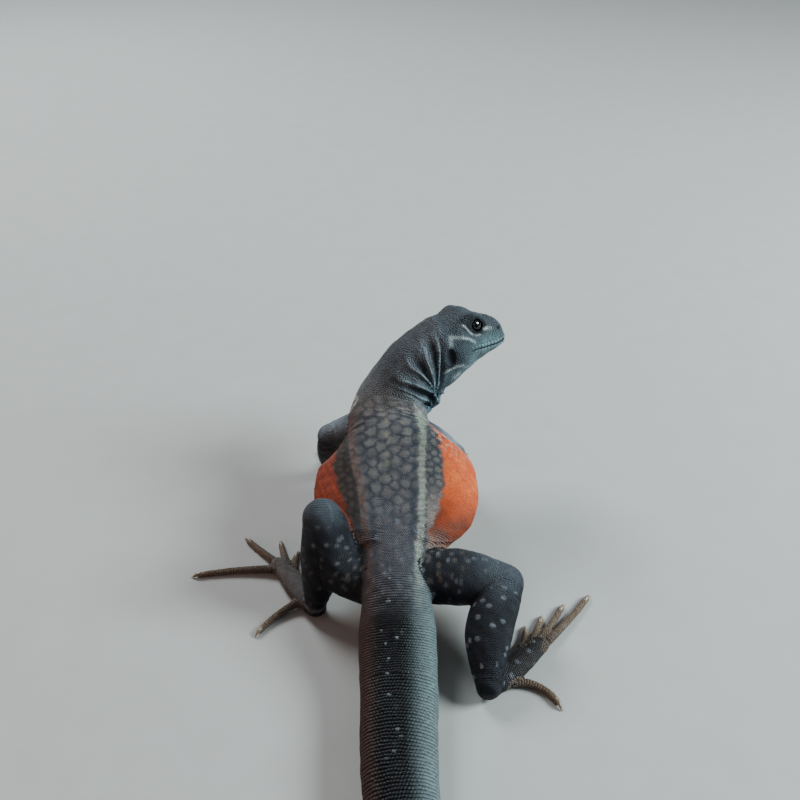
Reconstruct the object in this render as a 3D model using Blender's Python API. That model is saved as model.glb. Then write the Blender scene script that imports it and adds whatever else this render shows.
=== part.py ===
"""Red-banded butterfly lizard: a life-size adult male on the floor, its head turned to the right.

The body is lofted along a spine from the tail tip to the nape, and the head along its own axis.
Limbs are rounded lofts, and toes are fused to each foot. A piece that grows from another one is
trimmed by a slightly larger copy of it, so that neighbours meet face to face.
"""

import math

import bmesh
import bpy
import numpy as np
from mathutils import Matrix, Vector

MM = 0.001
COLLECTION_NAME = "red_banded_butterfly_lizard"

# Sizes and places are in millimetres: right, forward and up, with the hips over the origin.
GAP = 0.3
FLOOR_FLAT = 0.25
HIPS = (-1.6, 0.0, 20.0)
SHOULDERS = (-4.5, 68.2, 35.7)
NAPE = (12.3, 85.7, 58.5)
HEAD_FORWARD = (0.937, 0.341, -0.070)
HEAD_UP = (-0.085, 0.418, 0.902)

# The tail lies on the floor behind its root and swings once to each side on its way to the tip.
TAIL_LENGTH = 262.0
TAIL_LANDS = 45.0
TAIL_SWING = math.radians(24)
TAIL_KNOTS = 16

# The spine in front of that: distance from the hips along it, then the centre of the body there.
SPINE = (
    (-45.0, (-0.3, -44.0, 7.5)),
    (-32.0, (-0.5, -31.2, 9.3)),
    (-20.0, (-0.8, -19.7, 13.0)),
    (-10.0, (-1.2, -10.0, 17.0)),
    (0.0, HIPS),
    (23.0, (-1.3, 22.6, 25.1)),
    (46.0, (-1.9, 45.2, 30.4)),
    (70.0, SHOULDERS),
    (81.0, (-2.2, 75.9, 42.6)),
    (92.0, (4.2, 81.3, 51.7)),
    (103.0, NAPE),
)

# The body's girth: distance from the hips, half width, height over and under the centre, and how
# sharp its side edge is. The ribs are spread, which makes the trunk wide, low and sharp-edged.
GIRTH = (
    (-262.0, 0.5, 0.5, 0.5, 0.0),
    (-240.0, 1.9, 1.7, 1.7, 0.0),
    (-200.0, 3.6, 3.1, 3.1, 0.0),
    (-150.0, 6.2, 4.8, 4.8, 0.0),
    (-110.0, 8.9, 6.3, 6.3, 0.0),
    (-75.0, 11.3, 7.3, 7.3, 0.0),
    (-45.0, 12.4, 7.8, 7.8, 0.0),
    (-20.0, 13.0, 8.3, 8.2, 0.0),
    (0.0, 11.6, 8.7, 8.4, 0.0),
    (7.0, 13.0, 9.0, 8.8, 0.2),
    (12.0, 20.5, 9.2, 9.0, 0.6),
    (18.0, 26.3, 9.4, 8.6, 0.9),
    (27.0, 30.0, 9.7, 8.4, 1.0),
    (37.0, 30.6, 9.9, 8.6, 1.0),
    (47.0, 28.6, 10.1, 9.2, 1.0),
    (56.0, 21.5, 10.6, 10.3, 0.7),
    (64.0, 16.8, 10.9, 10.9, 0.3),
    (72.0, 15.7, 11.2, 11.8, 0.0),
    (82.0, 13.8, 11.3, 15.2, 0.0),
    (93.0, 13.2, 11.0, 19.2, 0.0),
    (103.0, 12.8, 10.9, 19.0, 0.0),
)

# Where the body is parted: at the tail's two bends, the vent, the shoulders and the nape.
TAIL_PARTS = (-262.0, -205.0, -140.0, -72.0, -14.0)
NECK_START = 76.0
NECK_END = 103.0

# Loose skin on the neck: folds that run down its side, deepest on the inside of the bend.
FOLD_FIRST = 78.0
FOLD_SPACING = 5.6
FOLD_DEPTH = 0.6
FOLD_STEP = 1.6

# The head: distance in front of the nape, half width, height over and under its axis.
HEAD_LENGTH = 31.0
HEAD_GIRTH = (
    (0.0, 12.8, 10.9, 19.0),
    (4.5, 12.9, 11.8, 18.3),
    (9.5, 12.4, 14.6, 14.7),
    (14.0, 11.1, 13.6, 11.6),
    (18.0, 9.8, 11.2, 9.0),
    (22.0, 8.3, 9.9, 7.3),
    (25.0, 7.2, 9.0, 6.0),
    (28.0, 5.9, 7.4, 4.6),
    (29.8, 4.6, 5.4, 3.4),
    (30.7, 3.1, 3.4, 2.3),
)
HEAD_SQUARE = 0.86
HEAD_STEP = 1.5
EYE_PLACE = (16.1, 5.9)
EYE_RADIUS = 3.35
EYE_SUNK = 2.9
EYE_TURN = (0.20, 0.10)
LID_OPENING = (2.8, 2.4)
LID_DEPTHS = (1.2, 7.0)
LID_POINTS = 14
LID_THICKNESS = 0.62
NOSTRIL_PLACE = (27.3, 3.9)
NOSTRIL_RADIUS = 0.6
EAR_PLACE = (3.0, -5.2)
EAR_SIZE = (2.0, 1.5, 4.0)
MOUTH_CORNER = (12.6, -3.4)
MOUTH_FRONT = (30.3, -0.2)
MOUTH_POINTS = 9
MOUTH_SAG = 0.7
MOUTH_GROOVE = 0.6
LIP_OFFSET = 0.85
LIP_RADIUS = 0.55
LIP_END = 0.3
LIP_SUNK = 0.26
SNOUT_TIP_LIFT = 0.8

# Swellings and hollows of the head's sides: where they lie along and over the head's axis, how
# far they reach each way, and how far they stand out. They are the brow, the orbit, the edge of
# the snout, the hollow under it, the jaw muscle, the temple and the ridge under the eye.
HEAD_RELIEF = (
    (15.8, 9.5, 5.2, 1.4, 1.7),
    (16.3, 5.6, 4.3, 2.7, -1.45),
    (22.8, 6.6, 3.4, 1.2, 0.7),
    (22.8, 3.2, 3.0, 1.6, -0.6),
    (8.8, -4.8, 3.8, 3.8, 1.2),
    (7.6, 7.6, 3.6, 2.8, 0.45),
    (11.0, 1.8, 4.4, 1.0, 0.55),
)

BODY_SIDES = 28
HEAD_SIDES = 36
TAIL_SIDES = 18
LIMB_SIDES = 12
SOLE_SIDES = 10
TOE_SIDES = 6
TORSO_STEP = 4.2
TAIL_STEP = 7.5
NECK_CUTTER_STEP = 3.0
FLOOR_BOX = (0.8, 0.9, 0.04)

# Limb joints, as places, and the half thickness of the limb at the knots between two of them.
LEFT, RIGHT = "left", "right"
HIND_JOINTS = {
    LEFT: {"hip": (-9.5, -1.5, 14.5), "knee": (-27.2, 14.5, 31.5), "heel": (-29.8, -1.5, 5.6)},
    RIGHT: {"hip": (5.6, 1.2, 16.4), "knee": (35.2, -4.4, 18.8), "heel": (28.4, -35.6, 5.6)},
}
FORE_JOINTS = {
    LEFT: {"shoulder": (-9.5, 71.0, 31.0), "elbow": (-28.4, 68.0, 26.0), "wrist": (-29.6, 73.0, 6.0)},
    RIGHT: {"shoulder": (6.5, 66.5, 29.5), "elbow": (21.2, 59.2, 23.5), "wrist": (18.6, 74.5, 5.5)},
}
THIGH_BOW = {LEFT: (-2.5, -2.5, -4.0), RIGHT: (0.0, 0.8, 0.8)}
SHANK_BOW = {LEFT: (1.0, -1.0, 0.0), RIGHT: (-2.4, 0.0, 0.0)}
THIGH_RADII = {LEFT: (7.5, 8.6, 8.8, 7.6), RIGHT: (9.2, 10.4, 9.4, 7.6)}
SHANK_RADII = {LEFT: (7.3, 8.7, 6.4, 4.2), RIGHT: (7.5, 9.2, 7.1, 4.7)}
UPPER_ARM_BOW = (0.0, 0.0, 0.6)
FOREARM_BOW = (0.0, -0.6, 0.0)
UPPER_ARM_RADII = (6.6, 6.4, 5.9, 5.2)
FOREARM_RADII = (5.2, 5.6, 4.5, 3.3)

# Hind toes from the first to the fifth: length, heading in degrees from straight ahead to the
# right, how far it bends to the right on its way, and its root as (along the foot, off its line).
FOOT_LENGTH = 27.0
FOOT_HEADING = {LEFT: -35.0, RIGHT: 45.5}
HIND_TOES = {
    LEFT: (
        (8.5, 2.0, 20.0, 0.80, 3.1),
        (13.5, -18.0, 10.0, 0.88, 2.2),
        (21.0, -46.0, 4.0, 0.92, 0.8),
        (30.0, -93.0, -18.0, 0.91, -1.0),
        (18.0, -132.0, -30.0, 0.24, -2.6),
    ),
    RIGHT: (
        (8.5, 14.0, -20.0, 0.80, -3.1),
        (13.5, 25.0, -10.0, 0.88, -2.2),
        (21.5, 34.0, -6.0, 0.92, -0.8),
        (31.5, 41.0, -8.0, 0.91, 1.0),
        (19.0, 110.0, 88.0, 0.24, 2.4),
    ),
}
HAND_LENGTH = 9.0
HAND_HEADING = {LEFT: 26.0, RIGHT: -6.0}
HAND_TOES = (
    (6.5, 58.0, 10.0, 0.75, 3.2),
    (9.5, 28.0, 6.0, 0.95, 2.4),
    (12.0, 3.0, 0.0, 1.00, 0.2),
    (11.5, -24.0, -6.0, 0.95, -2.2),
    (8.0, -56.0, -12.0, 0.72, -3.2),
)

# The sole from its joint to the knuckles: its half thickness there, how flat it is, how it arches,
# the height of its line at both ends, and the radius of the toes.
HIND_SOLE = {"radii": (4.3, 4.7, 4.5, 3.4), "flat": 0.72, "arch": -0.4, "start": 3.6,
             "knuckles": 2.2, "toe": 1.35}
FORE_SOLE = {"radii": (2.9, 3.6, 4.0), "flat": 0.66, "arch": 0.2, "start": 3.0,
             "knuckles": 1.9, "toe": 1.1}
ROOT_SINK = 0.4
TOE_STEPS = 4
TOE_TAPER = 0.22
TOE_REST = 0.84
TOE_FLAT = 0.95
TOE_SHARES = (1.4, 1.12, 1.0, 0.93, 0.82, 0.5, 0.14)
CLAW_TURN = 0.6
CLAW_LENGTH = 3.2
CLAW_TIP_HEIGHT = 0.42

# Each finish: its colour in linear light, and its roughness.
MATERIALS = {
    "skin_dark": ((0.035, 0.042, 0.050), 0.55),
    "skin_trunk": ((0.110, 0.095, 0.075), 0.55),
    "skin_head": ((0.045, 0.055, 0.062), 0.50),
    "skin_foot": ((0.120, 0.085, 0.060), 0.60),
    "eye_clear": ((0.012, 0.010, 0.009), 0.08),
}


def smoothstep(low, high, value):
    """0 below low, 1 above high, and a smooth rise between them."""
    share = min(1.0, max(0.0, (value - low) / (high - low)))
    return share * share * (3 - 2 * share)


def curve_through(knots, values, where):
    """A smooth cubic through the values at the knots, read at one place."""
    slopes = np.gradient(values, knots, axis=0)
    where = min(max(where, knots[0]), knots[-1])
    i = min(int(np.searchsorted(knots, where, side="right")) - 1, len(knots) - 2)
    span = knots[i + 1] - knots[i]
    t = (where - knots[i]) / span
    start = (2 * t**3 - 3 * t**2 + 1) * values[i] + (t**3 - 2 * t**2 + t) * span * slopes[i]
    end = (3 * t**2 - 2 * t**3) * values[i + 1] + (t**3 - t**2) * span * slopes[i + 1]
    return start + end


def signed_power(value, exponent):
    """The value's size to a power, with its sign kept."""
    return math.copysign(abs(value) ** exponent, value)


def girth_at(s):
    """Half width, height over and under the centre, and edge sharpness of the body at s."""
    rows = np.array(GIRTH)
    return curve_through(rows[:, 0], rows[:, 1:], s)


def tail_knots():
    """Places of the tail on the floor, walked back from where it lands, farthest first."""
    step = (TAIL_LENGTH - TAIL_LANDS) / TAIL_KNOTS
    x, y, _ = SPINE[0][1]
    knots = []
    for i in range(TAIL_KNOTS):
        share = (i + 0.5) / TAIL_KNOTS
        heading = TAIL_SWING * math.sin(2 * math.pi * share**1.3) * smoothstep(0, 0.3, share)
        x += math.sin(heading) * step
        y -= math.cos(heading) * step
        s = -TAIL_LANDS - (i + 1) * step
        knots.append((s, (x, y, girth_at(s)[2] - FLOOR_FLAT)))
    return knots[::-1]


SPINE_KNOTS = tail_knots() + list(SPINE)
SPINE_S = np.array([knot[0] for knot in SPINE_KNOTS])
SPINE_XYZ = np.array([knot[1] for knot in SPINE_KNOTS])


def spine_frame(s):
    """Centre, tangent, right and up of the body's section at s."""
    centre = Vector(curve_through(SPINE_S, SPINE_XYZ, s))
    ahead = Vector(curve_through(SPINE_S, SPINE_XYZ, s + 1))
    behind = Vector(curve_through(SPINE_S, SPINE_XYZ, s - 1))
    tangent = (ahead - behind).normalized()
    tangent = tangent.lerp(Vector(HEAD_FORWARD), smoothstep(86, NECK_END, s)).normalized()
    up = Vector((0, 0, 1)).lerp(Vector(HEAD_UP), smoothstep(70, NECK_END, s))
    right = tangent.cross(up).normalized()
    return centre, tangent, right, right.cross(tangent)


def section(centre, right, up, size, sides, square=1.0):
    """A ring of points: half width, height over and under the centre, edge sharpness."""
    width, top, bottom, edge = size
    ring = []
    for i in range(sides):
        angle = 2 * math.pi * i / sides
        across = width * signed_power(math.cos(angle), square * (1 - 0.2 * edge))
        lift = signed_power(math.sin(angle), square * (1 + 0.45 * edge))
        ring.append(centre + right * across + up * (lift * (top if lift > 0 else bottom)))
    return ring


def fold_depth(s, angle):
    """How far the loose neck skin sinks at s, at an angle round the body from its right side."""
    wave = 0.5 - 0.5 * math.cos(2 * math.pi * (s - FOLD_FIRST) / FOLD_SPACING)
    along = smoothstep(FOLD_FIRST, FOLD_FIRST + 5, s) * (1 - smoothstep(NECK_END - 6, NECK_END - 1, s))
    around = max(0.0, math.cos(angle + math.radians(28))) ** 1.5 + 0.4 * max(0.0, -math.sin(angle))
    return FOLD_DEPTH * 2 * wave * along * around


def body_ring(s, sides, grow=0.0, shift=0.0):
    """The body's ring at s, grown outwards, and moved along the spine."""
    centre, tangent, right, up = spine_frame(s)
    width, top, bottom, edge = girth_at(s)
    size = (width + grow, top + grow, bottom + grow, edge)
    ring = section(centre, right, up, size, sides)
    if FOLD_FIRST < s < NECK_END:
        for i, point in enumerate(ring):
            depth = fold_depth(s, 2 * math.pi * i / sides)
            point += (centre - point).normalized() * depth
    return [point + tangent * shift for point in ring]


def stations(start, end, step):
    """Evenly spaced places from start to end, no more than a step apart."""
    count = max(1, math.ceil((end - start) / step - 1e-6))
    return [start + (end - start) * i / count for i in range(count + 1)]


def body_rings(start, end, step, sides, grow=0.0):
    """Rings between two cut planes. Half a gap is left free at each plane."""
    places = stations(start, end, step)
    inset = GAP / 2 - grow
    rings = [body_ring(s, sides, grow) for s in places]
    rings[0] = body_ring(start, sides, grow, inset)
    rings[-1] = body_ring(end, sides, grow, -inset)
    return rings


def loft(name, rings, first_tip=None, last_tip=None):
    """A closed mesh object through rings of the same count, closed by a tip or a flat cap."""
    mesh = bmesh.new()
    rows = [[mesh.verts.new(point * MM) for point in ring] for ring in rings]
    for row, following in zip(rows, rows[1:]):
        for i in range(len(row)):
            j = (i + 1) % len(row)
            mesh.faces.new((row[i], row[j], following[j], following[i]))
    for row, ring, tip in ((rows[0], rings[0], first_tip), (rows[-1], rings[-1], last_tip)):
        middle = tip if tip is not None else sum(ring, Vector()) / len(ring)
        pole = mesh.verts.new(middle * MM)
        for i in range(len(row)):
            mesh.faces.new((row[i], row[(i + 1) % len(row)], pole))
    bmesh.ops.triangulate(mesh, faces=mesh.faces[:])
    bmesh.ops.recalc_face_normals(mesh, faces=mesh.faces[:])
    return mesh_object(name, mesh)


def mesh_object(name, mesh):
    """A new object in the scene from a bmesh, which is freed."""
    data = bpy.data.meshes.new(name)
    mesh.to_mesh(data)
    mesh.free()
    made = bpy.data.objects.new(name, data)
    bpy.context.scene.collection.objects.link(made)
    return made


def tube(name, points, radii, sides, steps=6, grow=0.0, flat=1.0, round_ends=(True, True)):
    """A loft along a smooth line, each ring a little flatter than wide, with rounded ends."""
    knots = np.arange(len(points), dtype=float)
    places = np.array(points, dtype=float)
    sizes = np.interp(np.linspace(0, 1, len(points)), np.linspace(0, 1, len(radii)), radii)
    count = (len(points) - 1) * steps
    frames = []
    for i in range(count + 1):
        t = i / steps
        centre = Vector(curve_through(knots, places, t))
        ahead = Vector(curve_through(knots, places, min(t + 0.05, knots[-1])))
        behind = Vector(curve_through(knots, places, max(t - 0.05, 0)))
        tangent = (ahead - behind).normalized()
        right = tangent.cross(Vector((0, 0, 1))).normalized()
        radius = float(curve_through(knots, sizes, t)) + grow
        frames.append((centre, tangent, right, right.cross(tangent), radius))
    rings = [tube_ring(frame, 0.0, sides, flat) for frame in frames]
    tips = [None, None]
    if round_ends[0]:
        rings = [tube_ring(frames[0], -angle, sides, flat) for angle in (62, 32)] + rings
        tips[0] = frames[0][0] - frames[0][1] * frames[0][4]
    if round_ends[1]:
        rings = rings + [tube_ring(frames[-1], angle, sides, flat) for angle in (32, 62)]
        tips[1] = frames[-1][0] + frames[-1][1] * frames[-1][4]
    return loft(name, rings, tips[0], tips[1])


def tube_ring(frame, angle, sides, flat):
    """One ring of a tube, slid along and shrunk as on a ball by an angle in degrees."""
    centre, tangent, right, up, radius = frame
    slide = tangent * (radius * math.sin(math.radians(angle)))
    small = radius * math.cos(math.radians(angle))
    return section(centre + slide, right, up, (small, small * flat, small * flat, 0.0), sides)


def evaluated_mesh(piece):
    """The piece's mesh with its modifiers applied, as new mesh data."""
    graph = bpy.context.evaluated_depsgraph_get()
    graph.update()
    return bpy.data.meshes.new_from_object(piece.evaluated_get(graph))


def discard(piece):
    """Remove an object and leave nothing of it in the scene."""
    bpy.data.objects.remove(piece, do_unlink=True)


def keep_largest_surface(data):
    """Drop every closed surface of the mesh but the largest one."""
    mesh = bmesh.new()
    mesh.from_mesh(data)
    bmesh.ops.remove_doubles(mesh, verts=mesh.verts[:], dist=1e-7)
    left = set(mesh.verts)
    surfaces = []
    while left:
        group = [left.pop()]
        for vert in group:
            for edge in vert.link_edges:
                other = edge.other_vert(vert)
                if other in left:
                    left.remove(other)
                    group.append(other)
        surfaces.append(group)
    surfaces.sort(key=len)
    for group in surfaces[:-1]:
        bmesh.ops.delete(mesh, geom=group, context="VERTS")
    bmesh.ops.triangulate(mesh, faces=mesh.faces[:])
    mesh.to_mesh(data)
    mesh.free()


def combine(piece, others, operation):
    """Cut the others out of the piece, or join them to it, and remove them."""
    tools = bpy.data.collections.new("tools")
    bpy.context.scene.collection.children.link(tools)
    for other in others:
        tools.objects.link(other)
    step = piece.modifiers.new(operation.lower(), "BOOLEAN")
    step.operation = operation
    step.operand_type = "COLLECTION"
    step.collection = tools
    step.solver = "EXACT"
    data = evaluated_mesh(piece)
    piece.modifiers.clear()
    keep_largest_surface(data)
    piece.data = data
    for other in others:
        discard(other)
    bpy.data.collections.remove(tools)
    return piece


def floor_cutter():
    """A box under the floor, wide enough for the whole animal."""
    mesh = bmesh.new()
    bmesh.ops.create_cube(mesh, size=1.0)
    box = Matrix.Translation((0, 0, -FLOOR_BOX[2] / 2)) @ Matrix.Diagonal((*FLOOR_BOX, 1))
    bmesh.ops.transform(mesh, matrix=box, verts=mesh.verts)
    return mesh_object("floor_cutter", mesh)


def head_local(x, y, z):
    """A place given along the head's own axes: forward from the nape, to the right, up."""
    forward = Vector(HEAD_FORWARD).normalized()
    right = forward.cross(Vector(HEAD_UP)).normalized()
    return Vector(NAPE) + forward * x + right * y + right.cross(forward) * z


def head_size(x):
    """Half width and height over and under the axis at x in front of the nape."""
    rows = np.array(HEAD_GIRTH)
    return curve_through(rows[:, 0], rows[:, 1:], x)


def head_relief(x, z):
    """How far the head's side stands out from its plain form at x and z."""
    total = 0.0
    for place_x, place_z, reach_x, reach_z, amount in HEAD_RELIEF:
        total += amount * math.exp(-((x - place_x) / reach_x) ** 2 - ((z - place_z) / reach_z) ** 2)
    return total


def head_side(x, z, side, out=0.0):
    """A place on the head's surface at x and z, on the right (1) or left (-1), pushed out."""
    width, top, bottom = head_size(x)
    lift = min(0.999, abs(z) / (top if z > 0 else bottom)) ** (1 / HEAD_SQUARE)
    across = width * math.sqrt(1 - lift * lift) ** HEAD_SQUARE
    return head_local(x, side * (across + head_relief(x, z) + out), z)


def head_rings(start_shift):
    """The head's rings from the nape plane to the snout."""
    rings = []
    _, right, up = head_axes()
    for x in stations(0.0, HEAD_GIRTH[-1][0], HEAD_STEP):
        width, top, bottom = head_size(x)
        centre = head_local(max(x, start_shift), 0, 0)
        square = 1 + (HEAD_SQUARE - 1) * smoothstep(2, 12, x)
        ring = section(centre, right, up, (width, top, bottom, 0.0), HEAD_SIDES, square)
        for point in ring:
            across, height = (point - centre).dot(right), (point - centre).dot(up)
            share = min(1.0, abs(across) / (0.45 * width))
            relief = head_relief(x, height) * smoothstep(0, 3, x) * share
            point += (point - centre).normalized() * relief
        rings.append(ring)
    return rings


def ellipsoid(name, centre, axes, radii, segments=14, rings=8, grow=0.0):
    """A ball stretched along three axes round a centre."""
    mesh = bmesh.new()
    bmesh.ops.create_uvsphere(mesh, u_segments=segments, v_segments=rings, radius=1.0)
    turned = Matrix([axis.normalized() * ((radius + grow) * MM) for axis, radius in zip(axes, radii)])
    place = Matrix.Translation(centre * MM) @ turned.transposed().to_4x4()
    bmesh.ops.transform(mesh, matrix=place, verts=mesh.verts)
    bmesh.ops.triangulate(mesh, faces=mesh.faces[:])
    bmesh.ops.recalc_face_normals(mesh, faces=mesh.faces[:])
    return mesh_object(name, mesh)


def head_axes():
    """The head's forward, right and up directions."""
    nape = Vector(NAPE)
    return [head_local(*axis) - nape for axis in ((1, 0, 0), (0, 1, 0), (0, 0, 1))]


def eye_centre(side):
    """The middle of an eyeball, sunk into the side of the head."""
    return head_side(EYE_PLACE[0], EYE_PLACE[1], side, -EYE_SUNK)


def eyeball(side, grow=0.0):
    """An eyeball, or the socket that it sits in when it is grown by the gap."""
    name = "eye_" + (RIGHT if side > 0 else LEFT)
    return ellipsoid(name, eye_centre(side), head_axes(), [EYE_RADIUS] * 3, 14, 9, grow)


def eye_outward(side):
    """The way an eye looks: out to its side, a little forward and up."""
    forward, right, up = head_axes()
    return (right * side + forward * EYE_TURN[0] + up * EYE_TURN[1]).normalized()


def lid_mound(side):
    """The ball of skin over the eyeball that both lids belong to."""
    radius = EYE_RADIUS + GAP + LID_THICKNESS
    return ellipsoid("lids", eye_centre(side), head_axes(), [radius] * 3, 16, 10)


def lid_opening(side):
    """An almond-shaped prism that opens the lids, pointed towards both corners of the eye."""
    forward, _, _ = head_axes()
    outward = eye_outward(side)
    along = (forward - outward * forward.dot(outward)).normalized()
    across = outward.cross(along)
    rings = []
    for depth in LID_DEPTHS:
        ring = []
        for i in range(LID_POINTS):
            angle = 2 * math.pi * i / LID_POINTS
            spot = along * (LID_OPENING[0] * math.cos(angle))
            spot += across * (LID_OPENING[1] * signed_power(math.sin(angle), 1.25))
            ring.append(eye_centre(side) + outward * depth + spot)
        rings.append(ring)
    return loft("lid_opening", rings)


def mouth_path(lift, out):
    """The line of the mouth from one corner round the snout to the other, moved up and out."""
    path = []
    for i in range(MOUTH_POINTS):
        share = i / (MOUTH_POINTS - 1)
        x = MOUTH_CORNER[0] + (MOUTH_FRONT[0] - MOUTH_CORNER[0]) * math.sin(share * math.pi / 2)
        z = MOUTH_CORNER[1] + (MOUTH_FRONT[1] - MOUTH_CORNER[1]) * share**0.8
        path.append((x, z + lift - MOUTH_SAG * math.sin(math.pi * share)))
    right = [head_side(x, z, 1, out) for x, z in path]
    left = [head_side(x, z, -1, out) for x, z in path]
    front = head_local(HEAD_LENGTH - 0.15 + out, 0, MOUTH_FRONT[1] + lift)
    return right + [front] + left[::-1]


def swept_wedge(name, outer, inner, half_height):
    """A three-sided groove cutter: open side on the outer line, its keel on the inner one."""
    up = head_axes()[2]
    rings = []
    for far, near in zip(outer, inner):
        rings.append([far + up * half_height, near, far - up * half_height])
    return loft(name, rings)


def make_head():
    """The head with brows, lids, lips, the line of the mouth, nostrils and ear cups."""
    tip = head_local(HEAD_LENGTH, 0, MOUTH_FRONT[1] + SNOUT_TIP_LIFT)
    head = loft("head", head_rings(GAP / 2), None, tip)
    axes = head_axes()
    added = [lid_mound(1), lid_mound(-1)]
    for lift in (LIP_OFFSET, -LIP_OFFSET):
        line = [tuple(point) for point in mouth_path(lift, -LIP_SUNK)]
        added.append(tube("lip", line, [LIP_END, LIP_RADIUS, LIP_RADIUS, LIP_RADIUS, LIP_END], 5, 1))
    combine(head, added, "UNION")
    cutters = [swept_wedge("mouth", mouth_path(0, 0.9), mouth_path(0, -0.9), MOUTH_GROOVE)]
    for side in (1, -1):
        cutters.append(eyeball(side, GAP))
        cutters.append(lid_opening(side))
        nostril = head_side(NOSTRIL_PLACE[0], NOSTRIL_PLACE[1], side)
        cutters.append(ellipsoid("nostril", nostril, axes, [NOSTRIL_RADIUS] * 3, 7, 5, 0.1))
        ear = head_side(EAR_PLACE[0], EAR_PLACE[1], side)
        cutters.append(ellipsoid("ear", ear, axes, EAR_SIZE, 10, 6))
    return combine(head, cutters, "DIFFERENCE")


def middle(first, last, share, lift=(0, 0, 0)):
    """A place between two others, moved by a small lift."""
    return tuple(a + (b - a) * share + c for a, b, c in zip(first, last, lift))


def limb_line(first, last, bow):
    """The line of a limb segment, bowed a little half way."""
    return [first, middle(first, last, 0.5, bow), last]


def thigh(side, grow=0.0):
    """From hip to knee."""
    joints = HIND_JOINTS[side]
    line = limb_line(joints["hip"], joints["knee"], THIGH_BOW[side])
    return tube("thigh_" + side, line, THIGH_RADII[side], LIMB_SIDES, 4, grow)


def shank(side, grow=0.0):
    """From knee to heel."""
    joints = HIND_JOINTS[side]
    line = limb_line(joints["knee"], joints["heel"], SHANK_BOW[side])
    return tube("shank_" + side, line, SHANK_RADII[side], LIMB_SIDES, 4, grow)


def upper_arm(side, grow=0.0):
    """From shoulder to elbow."""
    joints = FORE_JOINTS[side]
    line = limb_line(joints["shoulder"], joints["elbow"], UPPER_ARM_BOW)
    return tube("upper_arm_" + side, line, UPPER_ARM_RADII, LIMB_SIDES, 4, grow)


def forearm(side, grow=0.0):
    """From elbow to wrist."""
    joints = FORE_JOINTS[side]
    line = limb_line(joints["elbow"], joints["wrist"], FOREARM_BOW)
    return tube("forearm_" + side, line, FOREARM_RADII, LIMB_SIDES, 4, grow)


def heading_vector(degrees):
    """The direction on the floor at an angle from straight ahead to the right."""
    return Vector((math.sin(math.radians(degrees)), math.cos(math.radians(degrees)), 0))


def toe(root, length, heading, bend, radius):
    """One toe on the floor: knuckled, tapered, and ending in a claw that curves down."""
    points = [tuple(root)]
    place = root.copy()
    for i in range(TOE_STEPS):
        share = (i + 0.5) / TOE_STEPS
        place = place + heading_vector(heading + bend * (share - 0.5)) * (length / TOE_STEPS)
        height = radius * (1 - TOE_TAPER * (i + 1) / TOE_STEPS) * TOE_REST
        place.z = height + (root.z - height) * (1 - (i + 1) / TOE_STEPS) ** 2
        points.append(tuple(place))
    claw = heading_vector(heading + bend * CLAW_TURN) * (CLAW_LENGTH / 2)
    points.append((place.x + claw.x, place.y + claw.y, place.z + 0.1))
    points.append((place.x + 2 * claw.x, place.y + 2 * claw.y, CLAW_TIP_HEIGHT))
    radii = [radius * share for share in TOE_SHARES]
    return tube("toe", points, radii, TOE_SIDES, 1, 0.0, TOE_FLAT, (False, False))


def footed(name, joint, heading, length, toes, sole):
    """A foot or hand: a flat sole from under the joint on, with its toes fused to it."""
    ahead = heading_vector(heading)
    across = heading_vector(heading + 90)
    start = Vector((joint[0], joint[1], sole["start"]))
    knuckles = start + ahead * length
    knuckles.z = sole["knuckles"]
    line = [tuple(start), middle(start, knuckles, 0.5, (0, 0, sole["arch"])), tuple(knuckles)]
    base = tube(name, line, sole["radii"], SOLE_SIDES, 2, 0.0, sole["flat"])
    digits = []
    for size, turn, bend, along, off in toes:
        root = start + ahead * (length * along) + across * off
        root.z = sole["knuckles"] + (start.z - sole["knuckles"]) * (1 - along) * ROOT_SINK
        digits.append(toe(root, size, turn, bend, sole["toe"]))
    return combine(base, digits, "UNION")


def make_foot(side):
    """The hind foot with its five toes."""
    heel = HIND_JOINTS[side]["heel"]
    return footed("foot_" + side, heel, FOOT_HEADING[side], FOOT_LENGTH, HIND_TOES[side], HIND_SOLE)


def make_hand(side):
    """The fore foot with its five toes, which are listed for the left and mirrored."""
    turn = HAND_HEADING[side]
    mirror = 1 if side == LEFT else -1
    toes = [(size, turn + mirror * heading, mirror * bend, along, mirror * off)
            for size, heading, bend, along, off in HAND_TOES]
    return footed("hand_" + side, FORE_JOINTS[side]["wrist"], turn, HAND_LENGTH, toes, FORE_SOLE)


def make_hind_leg(side, torso_cutter):
    """Thigh, shank and foot, each trimmed by what it grows from."""
    upper = combine(thigh(side), torso_cutter(), "DIFFERENCE")
    lower = combine(shank(side), [thigh(side, GAP)] + torso_cutter(), "DIFFERENCE")
    foot = combine(make_foot(side), [shank(side, GAP), floor_cutter()], "DIFFERENCE")
    return [upper, lower, foot]


def make_fore_leg(side, torso_cutter):
    """Upper arm, forearm and hand, each trimmed by what it grows from."""
    upper = combine(upper_arm(side), torso_cutter(), "DIFFERENCE")
    lower = combine(forearm(side), [upper_arm(side, GAP)] + torso_cutter(), "DIFFERENCE")
    hand = combine(make_hand(side), [forearm(side, GAP), floor_cutter()], "DIFFERENCE")
    return [upper, lower, hand]


def make_body():
    """Torso, neck and the lengths of the tail, parted by planes across the spine."""
    pieces = [loft("torso", body_rings(TAIL_PARTS[-1], NECK_START, TORSO_STEP, BODY_SIDES))]
    pieces.append(loft("neck", body_rings(NECK_START, NECK_END, FOLD_STEP, BODY_SIDES)))
    names = ("tail_tip", "tail_end", "tail_middle", "tail_base")
    for name, start, end in zip(names, TAIL_PARTS, TAIL_PARTS[1:]):
        length = loft(name, body_rings(start, end, TAIL_STEP, TAIL_SIDES))
        pieces.append(combine(length, [floor_cutter()], "DIFFERENCE"))
    return pieces


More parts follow.
